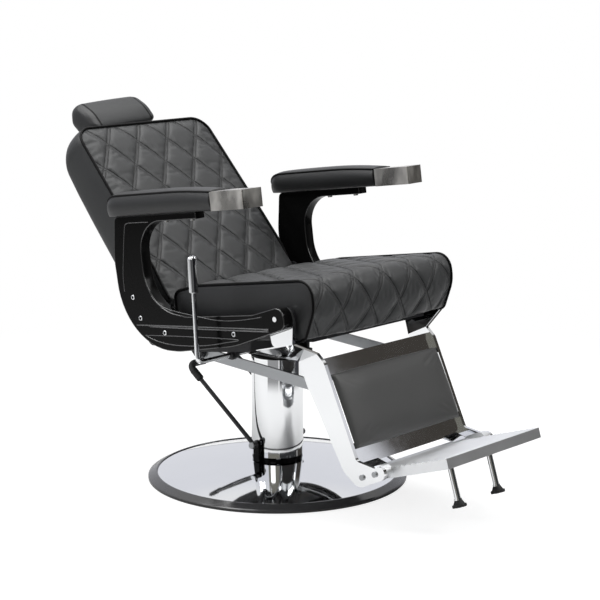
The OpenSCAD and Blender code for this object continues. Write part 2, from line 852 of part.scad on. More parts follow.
module legrest_pivot_bolts() {
    color(chrome) in_seat() both_sides() at(leg_pivot) {
        bar_x(side_x - 0.5, frame_in + 8, pivot_r);
        bar_x(frame_in + 7, frame_out + 1, 4);
        bar_x(frame_out + gap / 10, frame_out + 2, 6);
    }
}

module back_pivot_bolts() {
    color(grey_steel) in_seat() both_sides() at(back_pivot) {
        bar_x(crank_in - 7, crank_out + 2 + lug_t + 5, pivot_r);
        bar_x(crank_out + 2 + lug_t + gap / 10, crank_out + 2 + lug_t + 6, 12);
        bar_x(crank_in - 7, crank_in - 0.5, 12);
        bar_x(crank_out + gap / 3, crank_out + 2 - gap / 3, 14);
    }
}

// ---- Recline lock: a cylinder on the seat frame, its rod on the back frame ----

module lock_front_pin() {
    color(grey_steel) in_seat() at(lock_front) {
        bar_x(lock_x - 21, lock_x + 21, lock_pin_r);
        bar_x(lock_x - 22, lock_x - 18.1, 7.5);
    }
}

module lock_cylinder() {
    color(black_gloss) in_lock() difference() {
        union() {
            translate([lock_x, 14, 0]) rotate([-90, 0, 0]) cylinder(h = lock_tube_l, r = lock_r);
            bar_x(lock_x - 11, lock_x + 11, 11);
            translate([lock_x, 0, 0]) rotate([-90, 0, 0]) cylinder(h = 20, r = 8);
        }
        bar_x(lock_x - 12, lock_x + 12, lock_pin_r + fit);
        translate([lock_x, 40, 0]) rotate([-90, 0, 0]) cylinder(h = lock_tube_l, r = lock_rod_r + fit);
    }
}

module lock_rod() {
    color(chrome) in_lock() difference() {
        union() {
            translate([lock_x, 80, 0]) rotate([-90, 0, 0]) cylinder(h = lock_l - 88, r = lock_rod_r);
            at([lock_l, 0]) bar_x(lock_x - 11, lock_x + 11, 11);
        }
        at([lock_l, 0]) bar_x(lock_x - 12, lock_x + 12, lock_pin_r + slack);
    }
}

// ---- Recline lever ----

module recline_lever() {
    color(chrome) in_seat() at([lever_p, lever_q]) rotate([seat_pitch - lever_lean, 0, 0]) {
        bar_x(lever_x + lever_bend, lever_end, lever_rod_r);
        translate([lever_x + lever_bend, 0, lever_bend]) rotate([-90, 0, 0]) rotate([0, 0, 90])
            rotate_extrude(angle = 90) translate([lever_bend, 0]) circle(lever_rod_r, $fn = 32);
        translate([lever_x, 0, lever_bend]) cylinder(h = lever_h - lever_bend - 20, r = lever_rod_r);
    }
}

module lever_grip() {
    color(chrome) in_seat() at([lever_p, lever_q]) rotate([seat_pitch - lever_lean, 0, 0])
        translate([lever_x, 0, lever_h - grip_l]) difference() {
            rotate_extrude() polygon(concat(
                [[0, 0], [grip_d / 2 - 2, 0], [grip_d / 2, 2]],
                [for (turn = [0:15:75]) [cos(turn) * grip_d / 2, grip_l - 8 + 8 * sin(turn)]],
                [[2, grip_l], [0, grip_l]]));
            translate([0, 0, -1]) cylinder(h = grip_l - 19, r = lever_rod_r + fit);
        }
}

module lever_cam() {
    color(black_gloss) in_seat() at([lever_p, lever_q]) difference() {
        union() {
            bar_x(lever_end - 22, lever_end + 12, 9);
            slab(lever_end - 6, 8) polygon(rounded([
                [-9, 0, 0], [9, 0, 0], [7, 20, 6], [-7, 20, 6]]));
        }
        bar_x(lever_end - 30, lever_end + fit, lever_rod_r + fit);
    }
}

// ---- Backrest ----

module crank_outline() {
    difference() {
        polygon(rounded([
            [-14, -crank_l - 14, 13], [14, -crank_l - 14, 13], [18, -15, 20], [46, 42, 20], [46, 192, 6],
            [cross_b, 192, 0], [cross_b, 46, 8], [-19, 19, 18], [-18, -20, 20]]));
        circle(pivot_r + fit);
        translate([0, -crank_l]) circle(link_pin_r + fit, $fn = 48);
    }
}

module back_frame() {
    color(black_steel) in_back() {
        both_sides() slab(crank_in, bar_t) crank_outline();
        for (h = [72, 165])
            translate([-crank_in - 1, cross_b, h]) cube([2 * crank_in + 2, tube, tube]);
        at([0, lower_bar_h]) bar_x(-crank_in - 1, crank_in + 1, 8);
        for (x = [lock_x - 18, lock_x + 12])
            slab(x, 6) difference() {
                polygon(rounded([
                    [-12, -lock_crank - 12, 11], [12, -lock_crank - 12, 11], [12, lower_bar_h + 12, 10],
                    [-12, lower_bar_h + 12, 10]]));
                translate([0, -lock_crank]) circle(lock_pin_r + fit, $fn = 32);
            }
    }
}

module lock_rear_pin() {
    color(grey_steel) in_back() at([0, -lock_crank]) {
        bar_x(lock_x - 21, lock_x + 21, lock_pin_r);
        bar_x(lock_x - 22, lock_x - 18.1, 7.5);
    }
}

module back_link_pins() {
    color(grey_steel) in_back() both_sides() at([0, -crank_l]) {
        bar_x(link_out - link_t - 4, crank_out + 1, link_pin_r);
        bar_x(crank_out + gap / 10, crank_out + 1.8, 9);
        bar_x(link_out - link_t - 4, link_out - link_t - 1, 10);
    }
}

module back_board() {
    board_x = pocket_x - 10;
    color(plywood) in_back() translate([0, back_board_b + 12, 0]) rotate([90, 0, 0]) linear_extrude(12)
        polygon(rounded([
            [-board_x, back_bottom + 12, 10], [board_x, back_bottom + 12, 10],
            [board_x, pocket_top - 4, 30], [-board_x, pocket_top - 4, 30]]));
}

// Rear face of the backrest at height h, which swells towards the top
function back_rear_at(h) = back_rear + back_swell * sin(min(90, 110 * (h - back_bottom) / back_straight));

module back_cover() {
    levels = [for (k = [0:8]) back_bottom + 2 + (pocket_top - gap - back_bottom - 2) * k / 8];
    color(leather_dark) in_back() slab(-pocket_x + gap, 2 * (pocket_x - gap)) polygon(concat(
        [for (h = levels) [back_rear_at(h) - 1, h]],
        [for (k = [8:-1:0]) [back_rear_at(levels[k]) - 5, levels[k]]]));
}

// The front leans back and the sides draw in a little above the middle
function back_front_at(h) = back_front + back_taper * max(0, h - back_h + 170);

function back_x_at(h) = back_x - back_taper * max(0, h - back_h / 2);

// One ring of the backrest at height h: quilted front, flat sides and plain rear
function back_ring(h, half, front, rear, puffed = false) =
    let (step = quilt_w / quilt_steps,
         side = floor((back_x - edge_r) / step - 0.3),
         depth = rear - front,
         lip = min(edge_r - 3, depth / 4))
    concat(
        [[-half + lip, front, h]],
        [for (i = [-side:side])
            let (x = i * step,
                 fade = 1 - pow(x / back_x, 2),
                 puff = puffed ? quilted(x / quilt_w, (h - quilt_h) / quilt_l) + crown * fade : 0)
            [x * half / back_x, front - puff, h]],
        [[half - lip, front, h], [half, front + lip, h], [half, front + depth / 2, h], [half, rear - lip, h],
         [half - lip, rear, h], [0, rear, h], [-half + lip, rear, h], [-half, rear - lip, h],
         [-half, front + depth / 2, h], [-half, front + lip, h]]);

module backrest_cushion() {
    step = quilt_l / quilt_steps;
    low = back_bottom + edge_r;
    high = back_h - back_corner;
    foot = [for (turn = [75, 35])
        back_ring(back_bottom + edge_r * (1 - sin(turn)), back_x - edge_r * (1 - cos(turn)),
            back_front + edge_r * (1 - cos(turn)), back_rear - edge_r * (1 - cos(turn)))];
    rows = [for (k = [ceil((low - quilt_h) / step + 0.3):floor((high - quilt_h) / step - 0.3)]) quilt_h + k * step];
    body = [for (h = concat([low], rows, [high]))
        back_ring(h, back_x_at(h), back_front_at(h), back_rear_at(h), h > low)];
    crest = [for (turn = [28, 52, 72, 86])
        let (h = back_h - back_corner * (1 - sin(turn)))
        back_ring(h, back_x_at(h) - back_corner * (1 - cos(turn)),
            back_front_at(h) + 4 * (1 - cos(turn)), back_rear + back_swell - 42 * (1 - cos(turn)))];
    color(leather) in_back() difference() {
        skin(concat(foot, body, crest));
        translate([-pocket_x, back_board_b - gap, back_bottom - 1])
            cube([2 * pocket_x, back_t, pocket_top - back_bottom + 1]);
        translate([-post_w / 2 - 1, post_b - 1, pocket_top - 1]) cube([post_w + 2, post_t + 2, back_h - pocket_top + 2]);
    }
}

module headrest_socket() {
    color(black_steel) in_back() difference() {
        translate([-post_w / 2 - 6, back_board_rear, socket_h])
            cube([post_w + 12, post_b + post_t + 5 - back_board_rear, pocket_top - socket_h - 8]);
        translate([-post_w / 2 - 2 * fit, post_b - 2 * fit, socket_h - 1])
            cube([post_w + 4 * fit, post_t + 4 * fit, pocket_top - socket_h]);
    }
}

// ---- Headrest ----

head_bottom = back_h + head_gap;
head_mid = post_b + post_t / 2 + 17;

module headrest_post() {
    top = head_bottom + head_h / 2;
    color(chrome) in_back()
        translate([-post_w / 2, post_b, top - head_h / 2 - head_gap - 150]) cube([post_w, post_t, 150 + head_gap + head_h / 2]);
}

// One ring of the headrest roll at x: an oval that is flatter in front
function head_ring(x, scale_up) = [
    for (turn = [0:22.5:337.5])
        let (c = cos(turn), s = sin(turn),
             deep = (s > 0 ? 42 : 40) * scale_up,
             tall = head_h / 2 * scale_up)
        [x, head_mid + deep * sign(s) * pow(abs(s), 0.8), head_bottom + head_h / 2 + tall * sign(c) * pow(abs(c), 0.8)]];

module headrest_pad() {
    half = head_w / 2;
    seam = half * 0.74;
    color(leather_dark) in_back() difference() {
        skin(concat(
            [for (turn = [8, 26, 46, 66]) head_ring(-seam - (half - seam) * cos(turn), 0.35 + 0.63 * sin(turn))],
            [head_ring(-seam, 0.97), head_ring(-seam + 8, 1), head_ring(0, 1.03), head_ring(seam - 8, 1), head_ring(seam, 0.97)],
            [for (turn = [66, 46, 26, 8]) head_ring(seam + (half - seam) * cos(turn), 0.35 + 0.63 * sin(turn))]));
        translate([-post_w / 2 - gap, post_b - gap, head_bottom - 10])
            cube([post_w + 2 * gap, post_t + 2 * gap, head_h / 2 + 10 + gap]);
    }
}

// ---- Legrest ----

// Flat lower part of a bar with its forward foot
module bar_outline() {
    polygon(rounded([
        [bar_front + 12, bar_top + 1, 0], [bar_front, bar_top - 26, 20], [bar_front + 3, foot_end.y + 42, 12],
        [foot_end.x + 4, foot_end.y + 13, 0], [foot_end.x - foot_r, foot_end.y + foot_r - 2, 17],
        [foot_end.x - foot_r, foot_end.y - foot_r + 2, 17], [20, foot_end.y - foot_r + 2, 30],
        [46, foot_end.y + 30, 30], [bar_rear - 8, bar_top - 130, 80], [bar_rear, bar_top - 60, 80],
        [bar_rear, bar_top + 1, 0]]));
}

// Upper part of a bar, which turns on the pivot beside the side frame
module eye_outline() {
    polygon(rounded([
        [-20, 20, 19], [-18, -20, 20], [bar_front + 8, -63, 0], [bar_rear - 2, -53, 12], [bar_rear - 10, -10, 20],
        [20, 20, 19]]));
}

module legrest_bar() {
    outer = crank_out;
    inner = crank_in;
    color(chrome) in_leg() difference() {
        union() {
            slab(inner, bar_t) bar_outline();
            slab(eye_x, bar_t) eye_outline();
            hull() {
                slab(inner, bar_t) polygon([[bar_front + 12, bar_top + 1], [bar_rear, bar_top + 1],
                    [bar_rear, bar_top], [bar_front + 12, bar_top]]);
                slab(eye_x, bar_t) polygon([[bar_front + 8, -63], [bar_rear - 2, -53], [118, -42],
                    [118, -44], [bar_rear - 2, -55], [bar_front + 8, -65]]);
            }
            bar_x(side_x + side_t + gap, frame_in - gap, 15);
        }
        bar_x(side_x, frame_in + 1, pivot_r + fit);
        at(link_front) bar_x(inner - 1, outer + 1, link_pin_r + fit);
        for (bolt = foot_bolts)
            at(bolt) bar_x(inner - 1, outer + 1, 4 + fit);
    }
}

module legrest_bar_right() {
    mirror([1, 0, 0]) legrest_bar();
}

module legrest_bar_left() {
    legrest_bar();
}

module legrest_plate_upper() {
    color(chrome) in_leg() translate([-crank_in, plate_f, -165]) cube([2 * crank_in, strap_t, 53]);
}

module legrest_plate_lower() {
    top = -leg_l + 82;
    bottom = -leg_l + 31;
    color(chrome) in_leg() {
        translate([-crank_in, plate_f, bottom]) cube([2 * crank_in, strap_t, top - bottom]);
        both_sides() slab(crank_in - 74, 52)
            polygon([[plate_f, bottom + 4], [plate_f + strap_t, bottom + 4], [plate_f + strap_t, bottom - 2],
                [-14, bottom - 17], [-17, bottom - 16.5]]);
    }
}

module legrest_board() {
    color(plywood) in_leg() translate([0, plate_f - gap, 0]) rotate([90, 0, 0]) linear_extrude(6)
        polygon(rounded([
            [-crank_in + 14, -leg_l + 76, 8], [crank_in - 14, -leg_l + 76, 8],
            [crank_in - 14, -158, 8], [-crank_in + 14, -158, 8]]));
}

// One ring of the legrest pad at x: flat behind, crowned in front
function shin_ring(x, depth) =
    let (rear = plate_f - 6 - 2 * gap, top = -151, bottom = -leg_l + 68, mid = (top + bottom) / 2, tall = (top - bottom) / 2)
    concat(
        [for (t = [-1:0.25:1]) [x, rear - depth * (t * t == 1 ? 0.35 : 0.8 + 0.2 * (1 - t * t)), mid + tall * t * (t * t == 1 ? 1 : 1.04)]],
        [[x, rear, top], [x, rear, mid], [x, rear, bottom]]);

module legrest_pad() {
    half = crank_in - 3;
    places = [-half, -half + 5, -half + 22, -half / 2, 0, half / 2, half - 22, half - 5, half];
    depths = [6, 12, 16, 19, 20, 19, 16, 12, 6];
    color(leather_dark) in_leg() skin([for (i = [0:len(places) - 1]) shin_ring(places[i], depths[i])]);
}

module leg_link_pins() {
    color(chrome) in_leg() both_sides() at(link_front) {
        bar_x(link_out - link_t - 4, crank_out, link_pin_r);
        bar_x(link_out - link_t - 4, link_out - link_t - 0.5, 9);
    }
}

// ---- Footplate ----

// Section of the ribbed tread with its front and rear walls
module tread_outline() {
    fine = 8;
    count = floor((foot_depth - 8) / rib_pitch);
    start = (foot_depth - count * rib_pitch) / 2;
    wave = [for (i = [0:count * fine])
        [start + i * rib_pitch / fine, -rib_h * pow(abs(cos(180 * i / fine)), 2)]];
    polygon(concat([[0, -foot_t], [0, -1.5], [1.5, 0]], wave, [[foot_depth - 1, -1], [foot_depth, -foot_t]]));
}

// Ribbed tread with a rim, stiffening ribs and bosses for its two legs underneath
module tread() {
    width = 2 * plate_half;
    difference() {
        union() {
            difference() {
                slab(-plate_half, width) tread_outline();
                translate([-plate_half + wall, wall, -foot_t - 1])
                    cube([width - 2 * wall, foot_depth - 2 * wall, foot_t + 1 - wall - rib_h]);
            }
            for (x = [-prop_x, 0, prop_x])
                translate([x - 2.5, 1, -foot_t + 4]) cube([5, foot_depth - 2, foot_t - 8]);
            for (u = [prop_u - 2.5, foot_depth * 0.62])
                translate([-plate_half + 1, u, -foot_t + 4]) cube([width - 2, 5, foot_t - 8]);
            for (x = [-prop_x, prop_x])
                translate([x, prop_u, -foot_t]) cylinder(h = foot_t - 4, r = prop_r + 5);
        }
        for (x = [-prop_x, prop_x])
            translate([x, prop_u, -foot_t - 1]) cylinder(h = foot_t - 6, r = prop_r + fit);
    }
}

module footplate() {
    color(cast_metal) in_leg() difference() {
        union() {
            at(foot_front) rotate([foot_slope, 0, 0]) tread();
            both_sides() slab(plate_half - 1, crank_in - plate_half + 1) polygon(rounded([
                [16, foot_end.y + foot_r - 1, 15], [foot_end.x - foot_r + 1, foot_end.y + foot_r - 3, 16],
                [foot_end.x - foot_r + 1, foot_end.y - foot_r + 3, 16], [16, foot_end.y - foot_r + 5, 15]]));
        }
        both_sides() for (bolt = foot_bolts)
            at(bolt) bar_x(plate_half - 2 * wall, crank_in + 1, 4 + fit);
    }
}

module footplate_bolts() {
    color(grey_steel) in_leg() both_sides() for (bolt = foot_bolts)
        at(bolt) {
            bar_x(plate_half - wall - 2, crank_out + 1, 4);
            bar_x(crank_out + gap / 10, crank_out + 4, 6.5);
        }
}

module footplate_legs() {
    color(chrome) in_foot() for (x = [-prop_x, prop_x])
        translate([x, prop_u, -foot_t - prop_l + 10]) {
            cylinder(h = prop_l + foot_t - 20, r = prop_r);
            cylinder(h = 4, r = prop_r + 2);
        }
}

module footplate_feet() {
    color(rubber) in_foot() for (x = [-prop_x, prop_x])
        translate([x, prop_u, -foot_t - prop_l - 6]) difference() {
            union() {
                cylinder(h = 6, r = 17);
                translate([0, 0, 6]) cylinder(h = 9.9, r1 = 14, r2 = 9);
            }
            for (turn = [0:60:300])
                rotate(turn) translate([20, 0, -1]) cylinder(h = 20, r = 5, $fn = 24);
        }
}

// ---- Links ----

module link_bar() {
    reach = norm(link_rear - link_start);
    tilt = atan2(link_rear.y - link_start.y, link_rear.x - link_start.x);
    color(grey_steel) in_seat() at(link_start) rotate([tilt, 0, 0]) difference() {
        slab(link_out - link_t, link_t) polygon(rounded([
            [-link_half, -link_half, link_half - 0.1], [reach + link_half, -link_half, link_half - 0.1],
            [reach + link_half, link_half, link_half - 0.1], [-link_half, link_half, link_half - 0.1]], 8));
        bar_x(link_out - link_t - 1, link_out + 1, link_pin_r + fit);
        at([reach, 0]) bar_x(link_out - link_t - 1, link_out + 1, link_pin_r + slack);
    }
}

module link_bar_right() {
    mirror([1, 0, 0]) link_bar();
}

module link_bar_left() {
    link_bar();
}

// ---- The chair ----

base_plate();
base_dome();
base_rim();
pump_cylinder();
pump_bolts();
pedal_pins();
pedal_frame();
pedal_grip();
piston();
swivel_bearing();
swivel_bracket();
bracket_bolts();
column_sleeve();
sleeve_collar();
seat_frame();
seat_board();
seat_cushion();
side_frame_right();
side_frame_left();
side_frame_screws();
armrest_board_right();
armrest_board_left();
armrest_pad_right();
armrest_pad_left();
armrest_cap_right();
armrest_cap_left();
armrest_bolts();
legrest_pivot_bolts();
back_pivot_bolts();
lock_front_pin();
lock_cylinder();
lock_rod();
recline_lever();
lever_grip();
lever_cam();
back_frame();
back_board();
back_cover();
backrest_cushion();
headrest_socket();
back_link_pins();
lock_rear_pin();
headrest_post();
headrest_pad();
legrest_bar_right();
legrest_bar_left();
legrest_plate_upper();
legrest_plate_lower();
legrest_board();
legrest_pad();
leg_link_pins();
footplate();
footplate_bolts();
footplate_legs();
footplate_feet();
link_bar_right();
link_bar_left();
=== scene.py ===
"""Upholstery, trim and finishes of a hydraulic barber chair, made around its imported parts."""
import json
import math

import bmesh
import bpy
import numpy as np
from bpy.props import FloatProperty, FloatVectorProperty, PointerProperty
from mathutils import Matrix, Vector


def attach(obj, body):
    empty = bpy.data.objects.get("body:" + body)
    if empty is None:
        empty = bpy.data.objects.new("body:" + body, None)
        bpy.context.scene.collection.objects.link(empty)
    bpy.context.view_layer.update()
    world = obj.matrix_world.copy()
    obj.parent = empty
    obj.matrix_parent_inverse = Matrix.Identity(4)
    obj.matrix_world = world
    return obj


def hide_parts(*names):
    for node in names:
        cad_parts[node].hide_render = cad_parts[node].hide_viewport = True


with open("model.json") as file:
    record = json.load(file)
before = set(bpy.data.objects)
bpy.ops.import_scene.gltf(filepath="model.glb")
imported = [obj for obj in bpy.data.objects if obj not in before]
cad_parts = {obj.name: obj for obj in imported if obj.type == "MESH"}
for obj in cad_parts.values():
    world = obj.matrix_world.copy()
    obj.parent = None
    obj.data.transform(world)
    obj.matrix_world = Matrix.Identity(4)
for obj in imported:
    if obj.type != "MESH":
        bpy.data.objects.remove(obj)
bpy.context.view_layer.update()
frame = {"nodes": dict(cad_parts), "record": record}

bl_info = {
    "name": "Barber Chair Upholstery",
    "version": (1, 0, 0),
    "blender": (4, 5, 0),
    "location": "View3D > Sidebar > Barber Chair",
    "description": "Quilted cushions, pads, side frames and finishes of a barber chair",
    "category": "Object",
}

QUILT_STEPS = 26
STITCH = 0.0055
SEAM_DEPTH, SEAM_WIDTH = 0.0022, 0.0065
SIMULATED_FRAMES = 20
CLOTH = {"quality": 5, "mass": 0.3, "tension_stiffness": 15, "compression_stiffness": 15, "shear_stiffness": 8,
         "bending_stiffness": 0.6, "use_pressure": True}
CLOTH_SLACK = 0.02


# ---- Properties ----

def length(name, description, default):
    return FloatProperty(name=name, description=description, default=default, unit="LENGTH", precision=4)


def colour(name, description, default):
    return FloatVectorProperty(name=name, description=description, default=default, subtype="COLOR",
                               size=3, min=0, max=1)


class ChairSizes(bpy.types.PropertyGroup):
    seat_height: length("Seat datum", "Height of the seat frame's datum", 0.400)
    seat_pitch: FloatProperty(name="Seat pitch", description="Rise of the seat's front", default=math.radians(8),
                              subtype="ANGLE")
    seat_width: length("Seat width", "Width of the seat cushion", 0.516)
    seat_front: length("Seat nose", "Reach of the cushion in front of the column", 0.356)
    seat_rear: length("Seat rear", "Reach of the cushion behind the column", 0.085)
    seat_top: length("Seat top", "Height of the cushion over the seat datum", 0.122)
    back_width: length("Back width", "Width of the backrest", 0.464)
    back_height: length("Back height", "Top of the backrest over its pivot", 0.573)
    quilt_across: length("Diamond width", "Width of one diamond of the quilting", 0.104)
    quilt_along: length("Diamond length", "Length of one diamond of the quilting", 0.141)
    seam_gap: length("Seam spacing", "Distance between the two rows of each quilting seam", 0.0074)
    piping: length("Piping", "Radius of the piping cord", 0.0031)


class ChairFinishes(bpy.types.PropertyGroup):
    leather: colour("Leather", "Quilted leather", (0.040, 0.041, 0.0415))
    leather_plain: colour("Plain leather", "Headrest, legrest and back panels", (0.029, 0.030, 0.0305))
    # Painted light: the legrest pad's black leather gets a lighter colour than the other leather, for the light that
    # falls on the pad.
    leather_light: colour("Legrest leather", "Taut leather of the legrest pad", (0.062, 0.062, 0.061))
    # Painted shade: a darker copy of the same black leather for the side panels, armrest pads and headrest ends, which
    # stand in shade.
    leather_dark: colour("Dark leather", "Side panels, armrest pads and headrest ends", (0.013, 0.0135, 0.014))
    piping: colour("Piping", "Piping and thread", (0.003, 0.003, 0.003))
    enamel: colour("Enamel", "Gloss black side frames", (0.004, 0.004, 0.004))
    # Painted highlight: the rounded edges are a lighter, glossier copy of the black enamel, so that they show as light
    # lines.
    edge: colour("Edge highlights", "Edge highlights of the side frames", (0.012, 0.012, 0.012))
    # Painted highlight: the beads are a much lighter, glossier copy of the black enamel, so that they read as light
    # lines on the frames.
    bead: colour("Beads", "Raised beads of the side frames", (0.05, 0.05, 0.05))
    paint: colour("Paint", "Satin black steel", (0.022, 0.022, 0.024))
    chrome: colour("Chrome", "Polished chrome", (0.86, 0.87, 0.88))
    steel: colour("Steel", "Brushed zinc-plated steel", (0.36, 0.37, 0.38))
    aluminium: colour("Aluminium", "Cast footplate", (0.80, 0.81, 0.82))
    rubber: colour("Rubber", "Feet and pedal sleeve", (0.016, 0.016, 0.016))
    rim: colour("Rim", "Sloped ring round the base", (0.05, 0.05, 0.052))
    plywood: colour("Plywood", "Stained boards under the cushions", (0.030, 0.027, 0.025))
    cap: colour("Armrest caps", "Brushed nickel of the armrest caps", (0.50, 0.485, 0.455))


# ---- Frames of the moving units, with the back fully reclined ----

def turned(degrees):
    return Matrix.Rotation(math.radians(degrees), 4, "X")


def seat_frame():
    sizes = bpy.context.scene.chair_sizes
    return Matrix.Translation((0, 0, sizes.seat_height)) @ Matrix.Rotation(-sizes.seat_pitch, 4, "X")


def back_frame():
    return seat_frame() @ Matrix.Translation((0, 0.125, 0.020)) @ turned(-33)


def leg_frame():
    return seat_frame() @ Matrix.Translation((0, -0.286, 0.045)) @ turned(-17.5)


# ---- Outlines ----

def rounded(corners, steps=10):
    """Closed outline through corners (a, b, radius), each rounded where it has room."""
    count = len(corners)
    places = [Vector(c[:2]) for c in corners]
    before = [(places[i - 1] - places[i]).normalized() for i in range(count)]
    after = [(places[(i + 1) % count] - places[i]).normalized() for i in range(count)]
    half = [before[i].angle(after[i]) / 2 for i in range(count)]
    run = [corners[i][2] / math.tan(half[i]) for i in range(count)]
    room = [0.98 * (places[(i + 1) % count] - places[i]).length / max(run[i] + run[(i + 1) % count], 1e-5)
            for i in range(count)]
    outline = []
    for i in range(count):
        radius = corners[i][2] * min(1, room[i], room[i - 1])
        if radius == 0:
            outline.append(places[i])
            continue
        middle = places[i] + (before[i] + after[i]).normalized() * radius / math.sin(half[i])
        start = places[i] + before[i] * radius / math.tan(half[i]) - middle
        end = places[i] + after[i] * radius / math.tan(half[i]) - middle
        first = math.atan2(start.y, start.x)
        sweep = (math.atan2(end.y, end.x) - first + 3 * math.pi) % (2 * math.pi) - math.pi
        outline += [middle + radius * Vector((math.cos(first + sweep * k / steps), math.sin(first + sweep * k / steps)))
                    for k in range(steps + 1)]
    return outline


class Path:
    """A polyline that gives its point and its outward normal at any length."""

    def __init__(self, points):
        self.points = np.array([tuple(p) for p in points], float)
        steps = np.linalg.norm(np.diff(self.points, axis=0), axis=1)
        self.marks = np.concatenate([[0], np.cumsum(steps)])
        self.length = float(self.marks[-1])

    def at(self, s):
        return Vector((float(np.interp(s, self.marks, self.points[:, 0])),
                       float(np.interp(s, self.marks, self.points[:, 1]))))

    def normal(self, s, reach=0.004):
        along = self.at(min(s + reach, self.length)) - self.at(max(s - reach, 0))
        return Vector((along.y, -along.x)).normalized()


# ---- Meshes ----

def finish_mesh(name, bm, materials, body, slot, smooth=True):
    """Turns a bmesh into a piece at the origin that rides on a body."""
    bmesh.ops.recalc_face_normals(bm, faces=bm.faces[:])
    mesh = bpy.data.meshes.new(name)
    bm.to_mesh(mesh)
    bm.free()
    for material in materials:
        mesh.materials.append(material)
    if smooth:
        mesh.polygons.foreach_set("use_smooth", [True] * len(mesh.polygons))
    piece = bpy.data.objects.new(name, mesh)
    bpy.context.scene.collection.objects.link(piece)
    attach(piece, body)
    return piece


def subdivided(piece):
    """Makes the piece's mesh finer and rounder, once."""
    smoother = piece.modifiers.new("Subdivision", "SUBSURF")
    smoother.levels = smoother.render_levels = 1
    view = bpy.context.evaluated_depsgraph_get()
    mesh = bpy.data.meshes.new_from_object(piece.evaluated_get(view), preserve_all_data_layers=True, depsgraph=view)
    old = piece.data
    piece.modifiers.clear()
    piece.data = mesh
    bpy.data.meshes.remove(old)


def vectors(items, name):
    """One vector of every item, as rows."""
    rows = np.zeros(len(items) * 3)
    items.foreach_get(name, rows)
    return rows.reshape(-1, 3)


def move_to(mesh, places):
    mesh.vertices.foreach_set("co", places.ravel())
    mesh.update()


def inflate(piece, held, pressure, cap, slack):
    """Blows the piece up as cloth that is held at some vertices, and caps how far a point moves."""
    scene = bpy.context.scene
    group = piece.vertex_groups.new(name="held")
    group.add([int(v) for v in held], 1.0, "REPLACE")
    cloth = piece.modifiers.new("Cloth", "CLOTH")
    settings = cloth.settings
    for setting, value in CLOTH.items():
        setattr(settings, setting, value)
    settings.uniform_pressure_force = pressure
    settings.effector_weights.gravity = 0
    settings.vertex_group_mass = group.name
    settings.shrink_min = -slack
    cloth.collision_settings.use_collision = False
    cloth.point_cache.frame_start = 1
    cloth.point_cache.frame_end = SIMULATED_FRAMES
    before = vectors(piece.data.vertices, "co")
    for number in range(1, SIMULATED_FRAMES + 1):
        scene.frame_set(number)
    view = bpy.context.evaluated_depsgraph_get()
    moved = vectors(piece.evaluated_get(view).data.vertices, "co") - before
    far = np.linalg.norm(moved, axis=1, keepdims=True)
    share = np.where(far > 1e-9, cap * np.tanh(far / cap) / np.maximum(far, 1e-9), 1)
    piece.modifiers.remove(cloth)
    piece.vertex_groups.remove(group)
    scene.frame_set(1)
    move_to(piece.data, before + moved * share)


def seam_slope():
    """Steepness of the quilting's coordinates across a seam, per metre."""
    sizes = bpy.context.scene.chair_sizes
    return math.hypot(1 / sizes.quilt_across, 1 / sizes.quilt_along)


def on_seam(across, along):
    """Whether a place, counted in steps of the quilting, lies on a seam."""
    return (across + along) % QUILT_STEPS == 0 or (across - along) % QUILT_STEPS == 0


def puff(u, v):
    """Height of a diamond's cushion, from 0 on the seams to 1 in its middle."""
    return math.sqrt(abs(math.sin(math.pi * (u + v)) * math.sin(math.pi * (u - v))))


def seam_distance(quilt):
    """Distance of each point, in metres, from the nearest line of the diamond quilting."""
    lines = (quilt[:, 0] + quilt[:, 1], quilt[:, 0] - quilt[:, 1])
    return np.minimum(*[np.abs((line + 0.5) % 1 - 0.5) / seam_slope() for line in lines])


def sew_channels(piece):
    """Draws the leather down along the quilting seams."""
    mesh = piece.data
    quilt = vectors(mesh.attributes["quilt"].data, "vector")
    press = SEAM_DEPTH * np.exp(-(seam_distance(quilt) / SEAM_WIDTH) ** 2) * quilt[:, 2]
    move_to(mesh, vectors(mesh.vertices, "co") - vectors(mesh.vertex_normals, "vector") * press[:, None])


def close(bm, edges=None):
    """Closes open edges, all of them unless some are named, with flat triangles and gives those back."""
    edges = edges or [e for e in bm.edges if e.is_boundary]
    faces = bmesh.ops.holes_fill(bm, edges=edges, sides=0)["faces"]
    return bmesh.ops.triangulate(bm, faces=faces)["faces"]


def grid(bm, columns, rows, place):
    """A grid of columns by rows cells whose corner (i, j) stands at place(i, j)."""
    made = bmesh.ops.create_grid(bm, x_segments=columns, y_segments=rows, size=1)["verts"]
    index = {}
    for vertex in made:
        i = round((vertex.co.x + 1) / 2 * columns)
        j = round((vertex.co.y + 1) / 2 * rows)
        index[i, j] = vertex
    for (i, j), vertex in index.items():
        vertex.co = place(i, j)
    return index


def kinds(made, kind):
    return [item for item in made if isinstance(item, kind)]


def extended(bm, edges, known, material=0):
    """Extrudes a line of edges. Gives the new edges, and each new vertex with what is known of its old one."""
    made = bmesh.ops.extrude_edge_only(bm, edges=edges)["geom"]
    fresh = {}
    for vertex in kinds(made, bmesh.types.BMVert):
        for edge in vertex.link_edges:
            if edge.other_vert(vertex) in known:
                fresh[vertex] = known[edge.other_vert(vertex)]
    for face in kinds(made, bmesh.types.BMFace):
        face.material_index = material
    ahead = [e for e in kinds(made, bmesh.types.BMEdge) if e.verts[0] in fresh and e.verts[1] in fresh]
    return ahead, fresh


